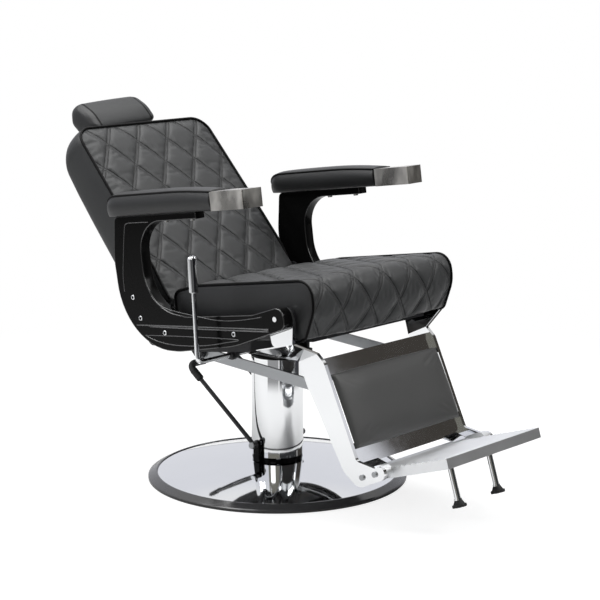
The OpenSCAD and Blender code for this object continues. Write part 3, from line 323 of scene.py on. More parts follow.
def sweep(name, places, radius, material, body, slot, sides=10, closed=False):
    """A round cord along a line of places."""
    bm = bmesh.new()
    count = len(places)
    ring = bmesh.ops.create_circle(bm, cap_ends=False, segments=sides, radius=radius)["verts"]
    shape = [v.co.copy() for v in ring]
    order = {v: n for n, v in enumerate(ring)}
    edges = bm.edges[:]
    side = None
    for k, spot in enumerate(places):
        ahead = places[(k + 1) % count] if closed or k + 1 < count else spot
        behind = places[k - 1] if closed or k > 0 else spot
        along = (ahead - behind).normalized()
        side = side or along.orthogonal().normalized()
        side = (side - along * side.dot(along)).normalized()
        up = along.cross(side)
        if k > 0:
            edges, order = extended(bm, edges, order)
        for vertex, n in order.items():
            vertex.co = spot + side * shape[n].x + up * shape[n].y
    ends = [e for e in bm.edges if len(e.link_faces) == 1]
    if closed:
        bmesh.ops.bridge_loops(bm, edges=ends)
    else:
        bmesh.ops.holes_fill(bm, edges=ends, sides=0)
    return finish_mesh(name, bm, [material], body, slot)


def upholster(name, bm, held, materials, body, slot, pressure, cap, slack=0.0):
    """Turns a bmesh into a piece of leather, blown up between the vertices that hold it."""
    bm.verts.index_update()
    pins = [v.index for v in bm.verts if v in held]
    piece = finish_mesh(name, bm, materials, body, slot)
    inflate(piece, pins, pressure, cap, slack)
    subdivided(piece)
    return piece


# ---- Materials ----

class Tree:
    """The shader nodes of a material or a world, linked as they are made."""

    def __init__(self, data):
        data.use_nodes = True
        self.nodes, self.links = data.node_tree.nodes, data.node_tree.links
        self.nodes.clear()

    def link(self, value, socket):
        if isinstance(value, (int, float, tuple)):
            socket.default_value = value
        else:
            self.links.new(value, socket)

    def add(self, kind, *values, **named):
        """A node with its first inputs, its settings (lower case) and its named inputs (capitals)."""
        node = self.nodes.new("ShaderNode" + kind)
        for name in [name for name in named if name.islower()]:
            setattr(node, name, named.pop(name))
        for value, socket in zip(values, node.inputs):
            self.link(value, socket)
        for name, value in named.items():
            self.link(value, node.inputs[name.replace("_", " ")])
        return node

    def math(self, operation, a, b=0.0):
        return self.add("Math", a, b, operation=operation).outputs[0]

    def split(self, vector):
        return self.add("SeparateXYZ", vector).outputs

    def between(self, value, low, high, start=0.0, end=1.0, form="LINEAR"):
        """The value's way from start to end, spread over low to high."""
        return self.add("MapRange", value, start, end, low, high, interpolation_type=form).outputs[0]

    def blend(self, factor, a, b):
        return self.add("MixShader", factor, a, b).outputs[0]

    def sector(self, turn, rise, fall, form):
        """1 between two bearings, each given as the degrees where it starts and ends to change."""
        return self.math("MULTIPLY", *[self.between(turn, 0, 1, math.radians(start), math.radians(end), form)
                                       for start, end in (rise, fall)])


class Shader(Tree):
    """A material that is built up from its principled shader."""

    def __init__(self, name, colour, roughness, metallic=0.0, gloss=0.5):
        self.material = bpy.data.materials.new(name)
        super().__init__(self.material)
        self.colour = colour
        self.shader = self.add("BsdfPrincipled", Metallic=metallic, Specular_IOR_Level=gloss)
        self.set(Base_Color=(*colour, 1), Roughness=roughness)
        self.add("OutputMaterial", self.shader.outputs[0])
        self.places = self.add("TexCoord").outputs["Object"]
        self.height = None

    def set(self, **values):
        for name, value in values.items():
            self.link(value, self.shader.inputs[name.replace("_", " ")])

    def stretched(self, stretch):
        return self.add("Mapping", self.places, Scale=stretch).outputs[0] if stretch else self.places

    def noise(self, scale, detail=3.0, stretch=None, roughness=0.5):
        return self.add("TexNoise", self.stretched(stretch), Scale=scale, Detail=detail, Roughness=roughness).outputs[0]

    def mix(self, factor, a, b):
        """A mix of two colours, which are the mix node's inputs 6 and 7 and its output 2."""
        node = self.add("Mix", factor, data_type="RGBA")
        self.link(a, node.inputs[6])
        self.link(b, node.inputs[7])
        return node.outputs[2]

    def toned(self, share):
        """The base colour times a share."""
        return tuple(min(max(c * share, 0), 1) for c in self.colour) + (1,)

    def shade(self, factor, amount):
        """The colour times a factor's share from 1 - amount to 1 + amount."""
        return self.mix(factor, self.toned(1 - amount), self.toned(1 + amount))

    def bump(self, height, distance, strength=1.0):
        node = self.add("Bump", Distance=distance, Strength=strength, Height=height)
        if self.height is not None:
            self.links.new(self.height, node.inputs["Normal"])
        self.height = node.outputs[0]
        self.set(Normal=self.height)


def leather(name, base, quilted=False, sheen=0.04, gloss=0.3):
    s = Shader(name, base, 0.45, gloss=gloss)
    s.set(Sheen_Weight=sheen, Sheen_Roughness=0.4)
    patches = s.noise(7, 4)
    tone = s.shade(patches, 0.14)
    grain = s.add("TexVoronoi", s.places, feature="DISTANCE_TO_EDGE", Scale=900).outputs["Distance"]
    pores = s.noise(420, 2)
    creases = s.noise(34, 6, (1, 1.6, 1), 0.62)
    wear = s.math("ADD", s.math("MULTIPLY", patches, 0.6), s.math("MULTIPLY", pores, 0.4))
    s.set(Roughness=s.between(wear, 0.36, 0.52))
    s.bump(creases, 0.0012, 0.3)
    s.bump(grain, 0.0002, 0.35)
    s.bump(pores, 0.00012, 0.3)
    if quilted:
        line, thread = seam_lines(s)
        # Painted shade: the pressed seam rows are darkened to 16% of the base colour, for the shade in their grooves.
        tone = s.mix(s.math("MULTIPLY", line, 0.8), tone, s.toned(0.16))
        s.bump(s.math("SUBTRACT", 1.0, line), 0.0016, 0.9)
        s.bump(thread, 0.0004, 0.5)
    s.set(Base_Color=tone)
    return s.material


def seam_lines(s):
    """Masks of the pressed seam rows, which are painted darker as shade in their grooves, and of their stitches."""
    sizes = bpy.context.scene.chair_sizes
    u, v, sewn = s.split(s.add("Attribute", attribute_name="quilt").outputs["Vector"])
    run = math.hypot(sizes.quilt_across, sizes.quilt_along) / 2
    rows, stitches = [], []
    for line, across in (("ADD", "SUBTRACT"), ("SUBTRACT", "ADD")):
        place = s.math("DIVIDE", s.math("PINGPONG", s.math(line, u, v), 0.5), seam_slope())
        away = s.math("ABSOLUTE", s.math("SUBTRACT", place, sizes.seam_gap / 2))
        step = s.math("PINGPONG", s.math("MULTIPLY", s.math(across, u, v), run / STITCH), 0.5)
        stitches.append(s.math("MULTIPLY", s.between(away, 1, 0, 0.0003, 0.0008), s.between(step, 0, 1, 0.07, 0.13)))
        rows.append(s.between(away, 1, 0, 0.0003, 0.0018, "SMOOTHSTEP"))
    return [s.math("MULTIPLY", s.math("MAXIMUM", *pair), sewn) for pair in (rows, stitches)]


def metal(name, base, roughness, smudges, brushed=None):
    s = Shader(name, base, roughness, 1.0)
    film = s.noise(9, 5, None, 0.6)
    fine = s.noise(160, 2, brushed) if brushed else s.noise(60, 4)
    wear = s.math("ADD", s.math("MULTIPLY", film, 0.6), s.math("MULTIPLY", fine, 0.4))
    s.set(Base_Color=s.shade(film, 0.03), Roughness=s.between(wear, roughness, roughness + smudges, 0.3, 0.75))
    if brushed:
        s.bump(fine, 0.00006, 0.5)
    return s.material


def enamel(name, base, roughness, gloss, peel=0.00005):
    s = Shader(name, base, roughness, gloss=gloss)
    film = s.noise(11, 4)
    s.set(Base_Color=s.shade(film, 0.2), Roughness=s.between(film, roughness * 0.8, roughness * 1.3))
    s.bump(s.noise(130, 2), peel, 0.5)
    return s.material


def rubber(name, base, roughness=0.62):
    s = Shader(name, base, roughness)
    dust = s.noise(22, 5)
    s.set(Base_Color=s.shade(dust, 0.3), Roughness=s.between(dust, roughness - 0.08, roughness + 0.1))
    s.bump(s.noise(700, 2), 0.0001, 0.5)
    return s.material


def rim_rubber(name, base):
    """Smooth rubber with a darker foot."""
    s = Shader(name, base, 0.2, gloss=0.8)
    foot = s.between(s.split(s.places)["Z"], 0, 1, 0.0066, 0.0076)
    cloud = s.noise(14, 4)
    s.set(Base_Color=s.mix(foot, (0.012, 0.012, 0.012, 1), s.shade(cloud, 0.1)),
          Roughness=s.between(cloud, 0.10, 0.18))
    s.bump(s.noise(500, 2), 0.00004, 0.5)
    return s.material


def brushed_cap(name, base):
    """Mottled, brushed nickel."""
    s = Shader(name, base, 0.3, 1.0)
    cloud = s.noise(20, 3, (1, 1, 0.5), 0.45)
    mottle = s.between(cloud, 0, 1, 0.36, 0.64, "SMOOTHSTEP")
    s.set(Base_Color=s.mix(mottle, s.toned(0.66), s.toned(1.5)), Roughness=s.between(cloud, 0.24, 0.36, 0.35, 0.65))
    s.bump(cloud, 0.0005, 0.25)
    s.bump(s.noise(240, 2, (5, 5, 0.5)), 0.00005, 0.5)
    return s.material


def wood(name, base):
    s = Shader(name, base, 0.6)
    figure = s.noise(14, 5, (1, 9, 1), 0.6)
    s.set(Base_Color=s.shade(figure, 0.3), Roughness=s.between(figure, 0.5, 0.7))
    s.bump(figure, 0.0002, 0.4)
    return s.material


# Short name of a finish: its maker, its title, its colour's property, and what else the maker takes.
FINISHES = {
    "quilted": (leather, "Quilted leather", "leather", {"quilted": True}),
    "leather": (leather, "Plain leather", "leather_plain", {}),
    # Painted shade: the dark leather is a darker copy of the black leather.
    "boxing": (leather, "Dark leather", "leather_dark", {"gloss": 0.45}),
    # Painted light: the legrest leather is a lighter copy of the black leather.
    "legrest": (leather, "Legrest leather", "leather_light", {}),
    "piping": (leather, "Piping leather", "piping", {"sheen": 0.0, "gloss": 0.1}),
    "enamel": (enamel, "Gloss black enamel", "enamel", {"roughness": 0.13, "gloss": 0.08}),
    # Painted highlight: the edge enamel is a lighter, glossier copy of the black enamel.
    "edge": (enamel, "Rounded enamel edge", "edge", {"roughness": 0.17, "gloss": 1.0}),
    # Painted highlight: the bead enamel is a lighter, glossier copy of the black enamel.
    "bead": (enamel, "Polished bead", "bead", {"roughness": 0.2, "gloss": 1.0}),
    "paint": (enamel, "Satin black paint", "paint", {"roughness": 0.4, "gloss": 0.35, "peel": 0.00012}),
    "chrome": (metal, "Polished chrome", "chrome", {"roughness": 0.03, "smudges": 0.04}),
    "steel": (metal, "Zinc-plated steel", "steel", {"roughness": 0.3, "smudges": 0.12, "brushed": (1, 12, 12)}),
    "aluminium": (metal, "Cast aluminium", "aluminium", {"roughness": 0.3, "smudges": 0.14, "brushed": (1, 10, 10)}),
    "rubber": (rubber, "Black rubber", "rubber", {}),
    "rim": (rim_rubber, "Rim moulding", "rim", {}),
    "plywood": (wood, "Stained plywood", "plywood", {}),
    "cap": (brushed_cap, "Brushed nickel", "cap", {}),
}


def finishes():
    """Every material by its short name, made where it isn't there yet."""
    colours = bpy.context.scene.chair_finishes
    return {key: bpy.data.materials.get(title) or make(title, tuple(getattr(colours, tint)), **options)
            for key, (make, title, tint, options) in FINISHES.items()}


NODE_FINISH = {"armrest_cap_right": "cap", "armrest_cap_left": "cap", "sleeve_collar": "enamel",
               "pump_cylinder": "enamel"}

SLOT_FINISH = {
    "chrome": "chrome", "black_steel": "paint", "black_gloss": "enamel", "grey_steel": "steel",
    "footplate_metal": "aluminium", "leather": "quilted", "leather_dark": "leather", "rubber": "rubber",
    "rim": "rim", "plywood": "plywood",
}


# ---- Seat cushion ----

SEAT_LOW = -0.0125
SEAT_CROWN = 0.013
SEAT_SWELL, SEAT_PUFF = 0.004, 0.005
SEAT_UNDER_ROWS = 14
NOSE_SEAM = 0.150


def seat_side(droop):
    """Side outline of the seat from its rear foot over the top and the nose to its front foot."""
    z = bpy.context.scene.chair_sizes
    return Path(rounded([
        (z.seat_rear - 0.018, SEAT_LOW, 0), (z.seat_rear, SEAT_LOW + 0.050, 0.030),
        (z.seat_rear, z.seat_top - 0.016, 0.022), (0, z.seat_top - 0.003, 0.160),
        (-z.seat_front, z.seat_top + 0.002, 0.038), (-z.seat_front - 0.001, z.seat_top * 0.46, 0.085),
        (-z.seat_front + 0.034, SEAT_LOW - droop, 0.018), (-z.seat_front + 0.050, SEAT_LOW, 0)], 12))


def make_seat_cushion():
    z = bpy.context.scene.chair_sizes
    looks = finishes()
    frame_of = seat_frame()
    half = z.seat_width / 2 - 0.002
    cell_x = z.quilt_across / QUILT_STEPS
    cell_s = z.quilt_along / QUILT_STEPS
    columns = 2 * math.floor(half / cell_x)
    flat = seat_side(0)
    nose_seam = flat.length - NOSE_SEAM
    first = math.ceil((0.012 - nose_seam) / cell_s)
    last = math.floor((flat.length - 0.006 - nose_seam) / cell_s)
    rows = last - first
    whole = rows + SEAT_UNDER_ROWS
    sides = {}

    def along_x(i):
        x = (i - columns / 2) * cell_x
        return x if 0 < i < columns else math.copysign(half, x)

    def along_s(j):
        if j == 0:
            return 0.0
        return flat.length if j >= rows else nose_seam + (first + j) * cell_s

    def place(i, j):
        x = along_x(i)
        share = 1 - (x / half) ** 2
        key = round(share, 4)
        if key not in sides:
            sides[key] = seat_side(SEAT_CROWN * share)
        side = sides[key]
        if j <= rows:
            s = along_s(j) * side.length / flat.length
            spot = side.at(s)
            fade = min(1, s / 0.06, (side.length - s) / 0.05)
            spot = spot + side.normal(s) * SEAT_SWELL * share * max(fade, 0)
            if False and 0 < j < rows and 0 < i < columns:
                rise = SEAT_PUFF * puff(x / z.quilt_across, (along_s(j) - nose_seam) / z.quilt_along)
                spot = spot + side.normal(s) * rise
            if spot.x > -0.29:
                spot.y = max(spot.y, SEAT_LOW)
        else:
            spot = side.at(side.length).lerp(side.at(0), (j - rows) / SEAT_UNDER_ROWS)
        return frame_of @ Vector((x, spot.x, spot.y))

    bm = bmesh.new()
    quilt = bm.verts.layers.float_vector.new("quilt")
    index = grid(bm, columns, whole, place)
    held = set()
    for (i, j), vertex in index.items():
        u = along_x(i) / z.quilt_across
        v = (along_s(j) - nose_seam) / z.quilt_along if j <= rows else 0
        edge = min((columns / 2 - abs(i - columns / 2)) * cell_x / 0.006, (rows - j) / 3, j / 3, 1)
        vertex[quilt] = (u, v, max(edge, 0) if j <= rows else 0)
        if on_seam(i - columns // 2, j + first) or i in (0, columns) or j == 0 or j >= rows:
            held.add(vertex)
    for column, sign in ((0, -1), (columns, 1)):
        box_side(bm, [index[column, j] for j in range(whole + 1)], frame_of, sign, half, quilt, held)
    bmesh.ops.remove_doubles(bm, verts=bm.verts[:], dist=0.0002)
    held.update(v for v in bm.verts if v[quilt][2] == 0)
    piece = upholster("seat_cushion_leather", bm, held, [looks["quilted"], looks["boxing"]], "seat", "leather",
                      5, 0.0055, CLOTH_SLACK)
    sew_channels(piece)
    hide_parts("seat_cushion")
    count = 150
    for sign, side_name in ((-1, "right"), (1, "left")):
        places = []
        for k in range(count + 1):
            s = 0.004 + (flat.length - 0.006) * k / count
            spot = flat.at(s) + flat.normal(s) * 0.0008
            places.append(frame_of @ Vector((sign * (half + 0.0005), spot.x, spot.y)))
        sweep("seat_piping_" + side_name, places, z.piping, looks["piping"], "seat", "leather_dark")


def box_side(bm, loop, frame_of, sign, half, quilt, held):
    """Closes one side of the seat with a plain panel that swells a little."""
    inward = frame_of.inverted()
    rim = [inward @ v.co for v in loop]
    spine_q = (SEAT_LOW + bpy.context.scene.chair_sizes.seat_top) / 2
    steps = 12
    edges = [e for a, b in zip(loop, loop[1:]) for e in a.link_edges if e.other_vert(a) == b]
    order = {v: n for n, v in enumerate(loop)}
    for k in range(1, steps + 1):
        edges, order = extended(bm, edges, order, 1)
        t = 1 - (1 - k / steps) ** 1.6
        for vertex, n in order.items():
            spot = rim[n]
            centre = Vector((spot.x, min(max(spot.y, -0.300), 0.035), spine_q))
            p = spot.lerp(centre, t)
            swell = 0.006 * math.sin(math.pi / 2 * min(1, t * 1.6)) - 0.001
            low = 1 if p.z > SEAT_LOW + 0.004 else 0.2
            vertex.co = frame_of @ Vector((sign * (half + swell * low), p.y, p.z))
            vertex[quilt] = (0, 0, 0)
            held.add(vertex)


# ---- Backrest ----

BACK_LOW = 0.050
BACK_SEAM = 0.374
BACK_RIM = 0.06


def back_outline():
    """Front outline of the backrest as (x, h)."""
    z = bpy.context.scene.chair_sizes
    wide = z.back_width / 2
    narrow = wide - 0.008
    return rounded([(-wide, BACK_LOW, 0.012), (-narrow, z.back_height, 0.044), (narrow, z.back_height, 0.044),
                    (wide, BACK_LOW, 0.012)], 14)


def front_at(h):
    """Depth of the backrest's front at a height: it leans back a little more towards the top."""
    return float(np.interp(h, (0.05, 0.25, 0.58), (-0.035, -0.035, -0.029)))


def nearest_on(outline, point):
    """The distance from an outline, the nearest place on it and the way out from there."""
    best = None
    for a, b in zip(outline, outline[1:] + outline[:1]):
        side = b - a
        if side.length < 1e-9:
            continue
        t = min(max((point - a).dot(side) / side.length_squared, 0), 1)
        spot = a + side * t
        gap = (point - spot).length
        if best is None or gap < best[0]:
            best = (gap, spot, Vector((-side.y, side.x)).normalized())
    return best


def inside(outline, point):
    within = False
    for a, b in zip(outline, outline[1:] + outline[:1]):
        if (a.y > point.y) != (b.y > point.y) and point.x < a.x + (point.y - a.y) / (b.y - a.y) * (b.x - a.x):
            within = not within
    return within


# Each ring of the boxing: its depth, how far it is drawn in and how far it is lowered at the top.
BACK_DEPTHS = (
    (0.003, -0.0015, -0.002), (0.008, -0.0035, -0.003), (0.018, -0.0055, -0.002), (0.032, -0.0065, 0.0),
    (0.046, -0.0065, 0.0015), (0.058, -0.006, 0.003), (0.068, -0.005, 0.006), (0.077, -0.004, 0.010),
    (0.085, -0.0025, 0.015), (0.0915, -0.0005, 0.021), (0.0965, 0.002, 0.028), (0.0995, 0.0055, 0.036),
    (0.1005, 0.010, 0.044), (0.100, 0.0155, 0.052), (0.097, 0.020, 0.058), (0.090, 0.022, 0.060))
BACK_RECESS = 0.0575
BACK_SWELL, BACK_PUFF = 0.007, 0.0045
PIPING_OUT, PIPING_UNDER, PIPING_SUNK = 0.0026, 0.0070, 0.0062
CREST_START = 0.38


def deepening(h):
    """How much deeper than at its top the boxing is at a height."""
    return float(np.interp(h, (0.25, 0.35, 0.46, 0.53, 0.57), (1.16, 1.14, 1.10, 1.05, 1.0)))


def footward(h):
    """1 at the foot of the backrest and 0 a little over it, where its piping is drawn in and sunk."""
    return min(1, max(0, (0.150 - h) / 0.050))


def make_backrest():
    z = bpy.context.scene.chair_sizes
    looks = finishes()
    frame_of = back_frame()
    outline = back_outline()
    cell_x = z.quilt_across / QUILT_STEPS
    cell_h = z.quilt_along / QUILT_STEPS
    columns = 2 * math.ceil(z.back_width / 2 / cell_x)
    first = math.floor((BACK_LOW - BACK_SEAM) / cell_h)
    rows = math.ceil((z.back_height - BACK_SEAM) / cell_h) - first
    bm = bmesh.new()
    quilt = bm.verts.layers.float_vector.new("quilt")
    flat = {}

    def spot_at(i, j):
        return Vector(((i - columns / 2) * cell_x, BACK_SEAM + (first + j) * cell_h))

    index = grid(bm, columns, rows, lambda i, j: Vector((*spot_at(i, j), 0)))
    gone = []
    for (i, j), vertex in index.items():
        point = spot_at(i, j)
        vertex[quilt] = (point.x / z.quilt_across + 0.5, (point.y - BACK_SEAM) / z.quilt_along, 1)
        gap = BACK_RIM
        if abs(point.x) > z.back_width / 2 - BACK_RIM or point.y < 0.08 or point.y > z.back_height - BACK_RIM:
            gap = nearest_on(outline, point)[0]
            if not inside(outline, point) and gap > cell_x * 0.5:
                gone.append(vertex)
                continue
        flat[vertex] = (i, j, point, gap)
    bmesh.ops.delete(bm, geom=gone, context="VERTS")
    bmesh.ops.delete(bm, geom=[f for f in bm.faces if all(v.is_boundary for v in f.verts)], context="FACES")
    bmesh.ops.delete(bm, geom=[v for v in bm.verts if not v.link_faces], context="VERTS")
    held = set()
    for vertex in bm.verts:
        i, j, point, gap = flat[vertex]
        edge = min(gap, BACK_RIM)
        if vertex.is_boundary:
            point = nearest_on(outline, point)[1]
            edge = 0
        if on_seam(i - columns // 2 + QUILT_STEPS // 2, j + first) or vertex.is_boundary:
            held.add(vertex)
        rise = min(1, edge / 0.05)
        swell = BACK_SWELL * rise * (2 - rise)
        u, v, _ = vertex[quilt]
        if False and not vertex.is_boundary:
            swell += BACK_PUFF * puff(u, v)
        vertex[quilt] = (u, v, min(1, edge / 0.006))
        vertex.co = frame_of @ Vector((point.x, front_at(point.y) - swell, point.y))
    edges = [e for e in bm.edges if e.is_boundary]
    inward = frame_of.inverted()
    rim = {}
    for edge in edges:
        for vertex in edge.verts:
            place = (inward @ vertex.co).xz
            rim[vertex] = (place, nearest_on(outline, place)[2])
    for depth, inset, crest in BACK_DEPTHS:
        edges, rim = extended(bm, edges, rim, 1)
        for vertex, (place, out) in rim.items():
            top = min(1, max(0, (place.y - CREST_START) / (z.back_height - CREST_START)))
            fuller = 0.004 * abs(out.x * out.y) * 2 * math.sin(math.pi * min(1, depth / 0.1)) if out.y > 0 else 0
            spot = place - out * (inset - fuller)
            spot.y -= crest * top
            rear = front_at(place.y) + depth * deepening(place.y) if depth != BACK_DEPTHS[-1][0] else BACK_RECESS
            vertex.co = frame_of @ Vector((spot.x, rear, spot.y))
            vertex[quilt] = (0, 0, 0)
            held.add(vertex)
    for face in close(bm, edges):
        face.material_index = 1
    piece = upholster("backrest_leather", bm, held, [looks["quilted"], looks["leather"]], "back", "leather",
                      3.2, 0.0038, CLOTH_SLACK)
    sew_channels(piece)
    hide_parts("backrest_cushion")
    fine = Path(outline + outline[:1])
    count = 420
    places = []
    for k in range(count):
        spot = fine.at(fine.length * k / count)
        out = nearest_on(outline, spot)[2]
        spot = spot + out * (PIPING_OUT - PIPING_UNDER * max(0, -out.y) - PIPING_OUT * footward(spot.y))
        front = front_at(spot.y) - 0.0012 + PIPING_SUNK * footward(spot.y)
        places.append(frame_of @ Vector((spot.x, front, spot.y)))
    sweep("backrest_piping", places, z.piping * 1.2, looks["piping"], "back", "leather_dark", closed=True)


# ---- Headrest ----

HEAD_SECTION = ((0.009, 0.606, 0.010), (0.010, 0.655, 0.090), (0.030, 0.703, 0.022), (0.062, 0.706, 0.024),
                (0.087, 0.676, 0.022), (0.080, 0.630, 0.024), (0.046, 0.607, 0.040))
HEAD_END = ((-0.1165, 0.15), (-0.116, 0.38), (-0.1145, 0.60), (-0.112, 0.76), (-0.108, 0.87), (-0.103, 0.93),
            (-0.098, 0.962), (-0.0945, 0.972), (-0.092, 0.988), (-0.0885, 1.0), (-0.086, 1.0))
HEAD_STRIP = (-0.0950, -0.0880)
HEAD_LEAN = math.radians(3.6)
HEAD_MIDDLE = Vector((0.040, 0.654))
HEAD_BULK = 0.086


def make_headrest():
    looks = finishes()
    outline = rounded(list(HEAD_SECTION), 10)
    section = Path(outline + outline[:1])
    up = Vector((0, 0, HEAD_MIDDLE.y))
    lean = Matrix.Translation(up) @ Matrix.Rotation(-HEAD_LEAN, 4, "Y") @ Matrix.Translation(-up)
    frame_of = back_frame() @ lean
    bulk = [(x, 1 + 0.03 * (1 - (x / HEAD_BULK) ** 2)) for x in np.linspace(-HEAD_BULK, HEAD_BULK, 45)[1:-1]]
    rings = list(HEAD_END) + bulk + [(-x, scale) for x, scale in reversed(HEAD_END)]
    columns, around = len(rings) - 1, 76
    bm = bmesh.new()

    def place(i, j):
        x, scale = rings[i]
        spot = HEAD_MIDDLE + (section.at(section.length * (j % around) / around) - HEAD_MIDDLE) * scale
        return frame_of @ Vector((float(x), spot.x, spot.y))

    index = grid(bm, columns, around, place)
    held = {v for (i, j), v in index.items() if HEAD_STRIP[0] < -abs(rings[i][0]) < HEAD_STRIP[1]}
    ends = {v for (i, j), v in index.items() if abs(rings[i][0]) > -HEAD_STRIP[0] - 0.001}
    for face in bm.faces:
        face.material_index = 1 if held.issuperset(face.verts) else 2 if ends.issuperset(face.verts) else 0
    bmesh.ops.remove_doubles(bm, verts=bm.verts[:], dist=0.0001)
    for face in close(bm):
        face.material_index = 2
    piece = upholster("headrest_leather", bm, held, [looks["leather"], looks["piping"], looks["boxing"]], "headrest",
                      "leather_dark", 4, 0.004)
    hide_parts("headrest_pad")


# ---- Armrest pads ----

def make_armrests():
    looks = finishes()
    frame_of = seat_frame()
    front, rear, low = -0.1395, 0.236, 0.2985
    half, middle, tall = 0.037, 0.293, 0.055
    around, rows = 56, 90

    def ring(t):
        """Half width and height share at a share of the pad's length, rounded at the rear."""
        end = max(0, (t - 0.85) / 0.15)
        return math.sqrt(max(1 - end ** 2.3, 0.0)), math.sqrt(max(1 - 0.86 * end ** 2.2, 0.02))

    for sign, side in ((-1, "right"), (1, "left")):
        bm = bmesh.new()
        seam_cols = (round(around * 0.30), round(around * 0.70))

        def place(i, j):
            t = i / rows
            wide, high = ring(t)
            p = front + (rear - front) * t
            crown = tall * (0.88 + 0.14 * math.sin(math.pi / 2 * min(1, t * 2.6)))
            a = j / around
            if a <= 0.12 or a >= 0.88:
                spot = (-a / 0.12 * 0.80 if a < 0.5 else (1 - a) / 0.12 * 0.80, 0)
            elif 0.30 < a < 0.70:
                turn = (a - 0.30) / 0.40
                spot = (-0.87 * math.cos(math.pi * turn), 0.88 + 0.12 * math.sin(math.pi * turn) ** 0.8)
            else:
                k = (a - 0.12) / 0.18 if a < 0.5 else (0.88 - a) / 0.18
                spot = ((0.80 + 0.07 * k + 0.19 * math.sin(math.pi * k)) * (-1 if a < 0.5 else 1), k * 0.88)
            x = middle + half * max(wide, 0.02) * spot[0]
            return frame_of @ Vector((sign * x, p, low + crown * high * spot[1]))

        index = grid(bm, rows, around, place)
        held = {vertex for (i, j), vertex in index.items()
                if j in seam_cols or j <= around * 0.12 or j >= around * 0.88 or i in (0, 1)}
        bmesh.ops.remove_doubles(bm, verts=bm.verts[:], dist=0.0001)
        close(bm)
        piece = upholster("armrest_leather_" + side, bm, held, [looks["boxing"]], "seat", "leather_dark", 4, 0.0035)
        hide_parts("armrest_pad_" + side)
        near, far = seam_cols
        edge = [place(i, near) for i in range(rows)] + [place(i, far) for i in reversed(range(rows))]
        sweep("armrest_piping_" + side, edge, 0.0027, looks["piping"], "seat", "leather_dark")


# ---- Legrest pad ----

def make_legrest_pad():
    looks = finishes()
    frame_of = leg_frame()
    half, top, bottom, back = 0.195, -0.151, -0.332, 0.0014
    columns, rows = 96, 60
    bm = bmesh.new()

    def place(i, j):
        u = 2 * i / columns - 1
        v = 2 * j / rows - 1
        bulge = ((1 - u ** 10) * (1 - v ** 6)) ** 0.5
        depth = 0.004 + 0.013 * bulge + 0.003 * (1 - u * u) * (1 - v * v)
        return frame_of @ Vector((u * half * (1 - 0.006 * v * v), back - depth,
                                  (top + bottom) / 2 + v * (top - bottom) / 2 * (1 - 0.012 * u * u)))

    index = grid(bm, columns, rows, place)
    rim = [e for e in bm.edges if e.is_boundary]
    made = bmesh.ops.extrude_edge_only(bm, edges=rim)["geom"]
    inward = frame_of.inverted()
    for vertex in kinds(made, bmesh.types.BMVert):
        local = inward @ vertex.co
        vertex.co = frame_of @ Vector((local.x, back, local.z))
    close(bm)
    inner = {vertex for (i, j), vertex in index.items() if 0 < i < columns and 0 < j < rows}
    piece = upholster("legrest_leather", bm, set(bm.verts) - inner, [looks["legrest"]], "legrest", "leather_dark",
                      1.2, 0.0016)
    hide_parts("legrest_pad")


# ---- Side frames ----

FRAME_IN, FRAME_OUT = 0.280, 0.310
FRAME_OUTLINE = (
    (-0.069, 0.298, 0.003), (0.211, 0.298, 0.014), (0.227, 0.198, 0.200), (0.223, -0.026, 0.174),
    (0.030, -0.031, 0.200), (-0.150, -0.018, 0.300), (-0.316, 0.023, 0.020), (-0.308, 0.074, 0.022),
    (-0.215, 0.055, 0.060), (-0.001, 0.052, 0.110), (0.130, 0.076, 0.112), (0.129, 0.281, 0.074),
    (-0.069, 0.281, 0.002))
FRAME_BEADS = (
    ((0.093, 0.2805), (0.150, 0.281), (0.168, 0.280), (0.177, 0.2715), (0.187, 0.230), (0.201, 0.158), (0.203, 0.115)),
    ((0.172, 0.0335), (0.000, 0.0290), (-0.245, 0.0222), (-0.249, 0.0198), (-0.245, 0.0172), (-0.018, 0.0240),
     (0.128, 0.0297)),
    ((0.146, 0.0085), (-0.015, 0.0047), (-0.162, -0.0020), (-0.120, -0.0090), (-0.066, -0.0150), (-0.010, -0.0170),
     (0.050, -0.0150), (0.090, -0.0095), (0.120, -0.0020), (0.146, 0.0085)),
    ((0.112, 0.104), (0.092, 0.0850), (0.067, 0.0740), (0.037, 0.0660), (-0.050, 0.0510), (-0.109, 0.0430),
     (-0.170, 0.0430), (-0.2455, 0.0499)),
)
BEAD_RADII = (0.0012, 0.0019, 0.0012, 0.0010)
SCREWS = ((0.175, 0.101), (0.156, 0.050), (0.077, 0.014), (-0.152, 0.011))


def softened(points, steps=6):
    """A smooth line through the points (Catmull-Rom)."""
    points = [Vector(p) for p in points]
    ends = [points[0] * 2 - points[1]] + points + [points[-1] * 2 - points[-2]]
    line = []
    for a, b, c, d in zip(ends, ends[1:], ends[2:], ends[3:]):
        for k in range(steps):
            t = k / steps
            line.append(0.5 * ((2 * b) + (c - a) * t + (2 * a - 5 * b + 4 * c - d) * t * t
                               + (3 * b - a - 3 * c + d) * t ** 3))
    return line + [points[-1]]


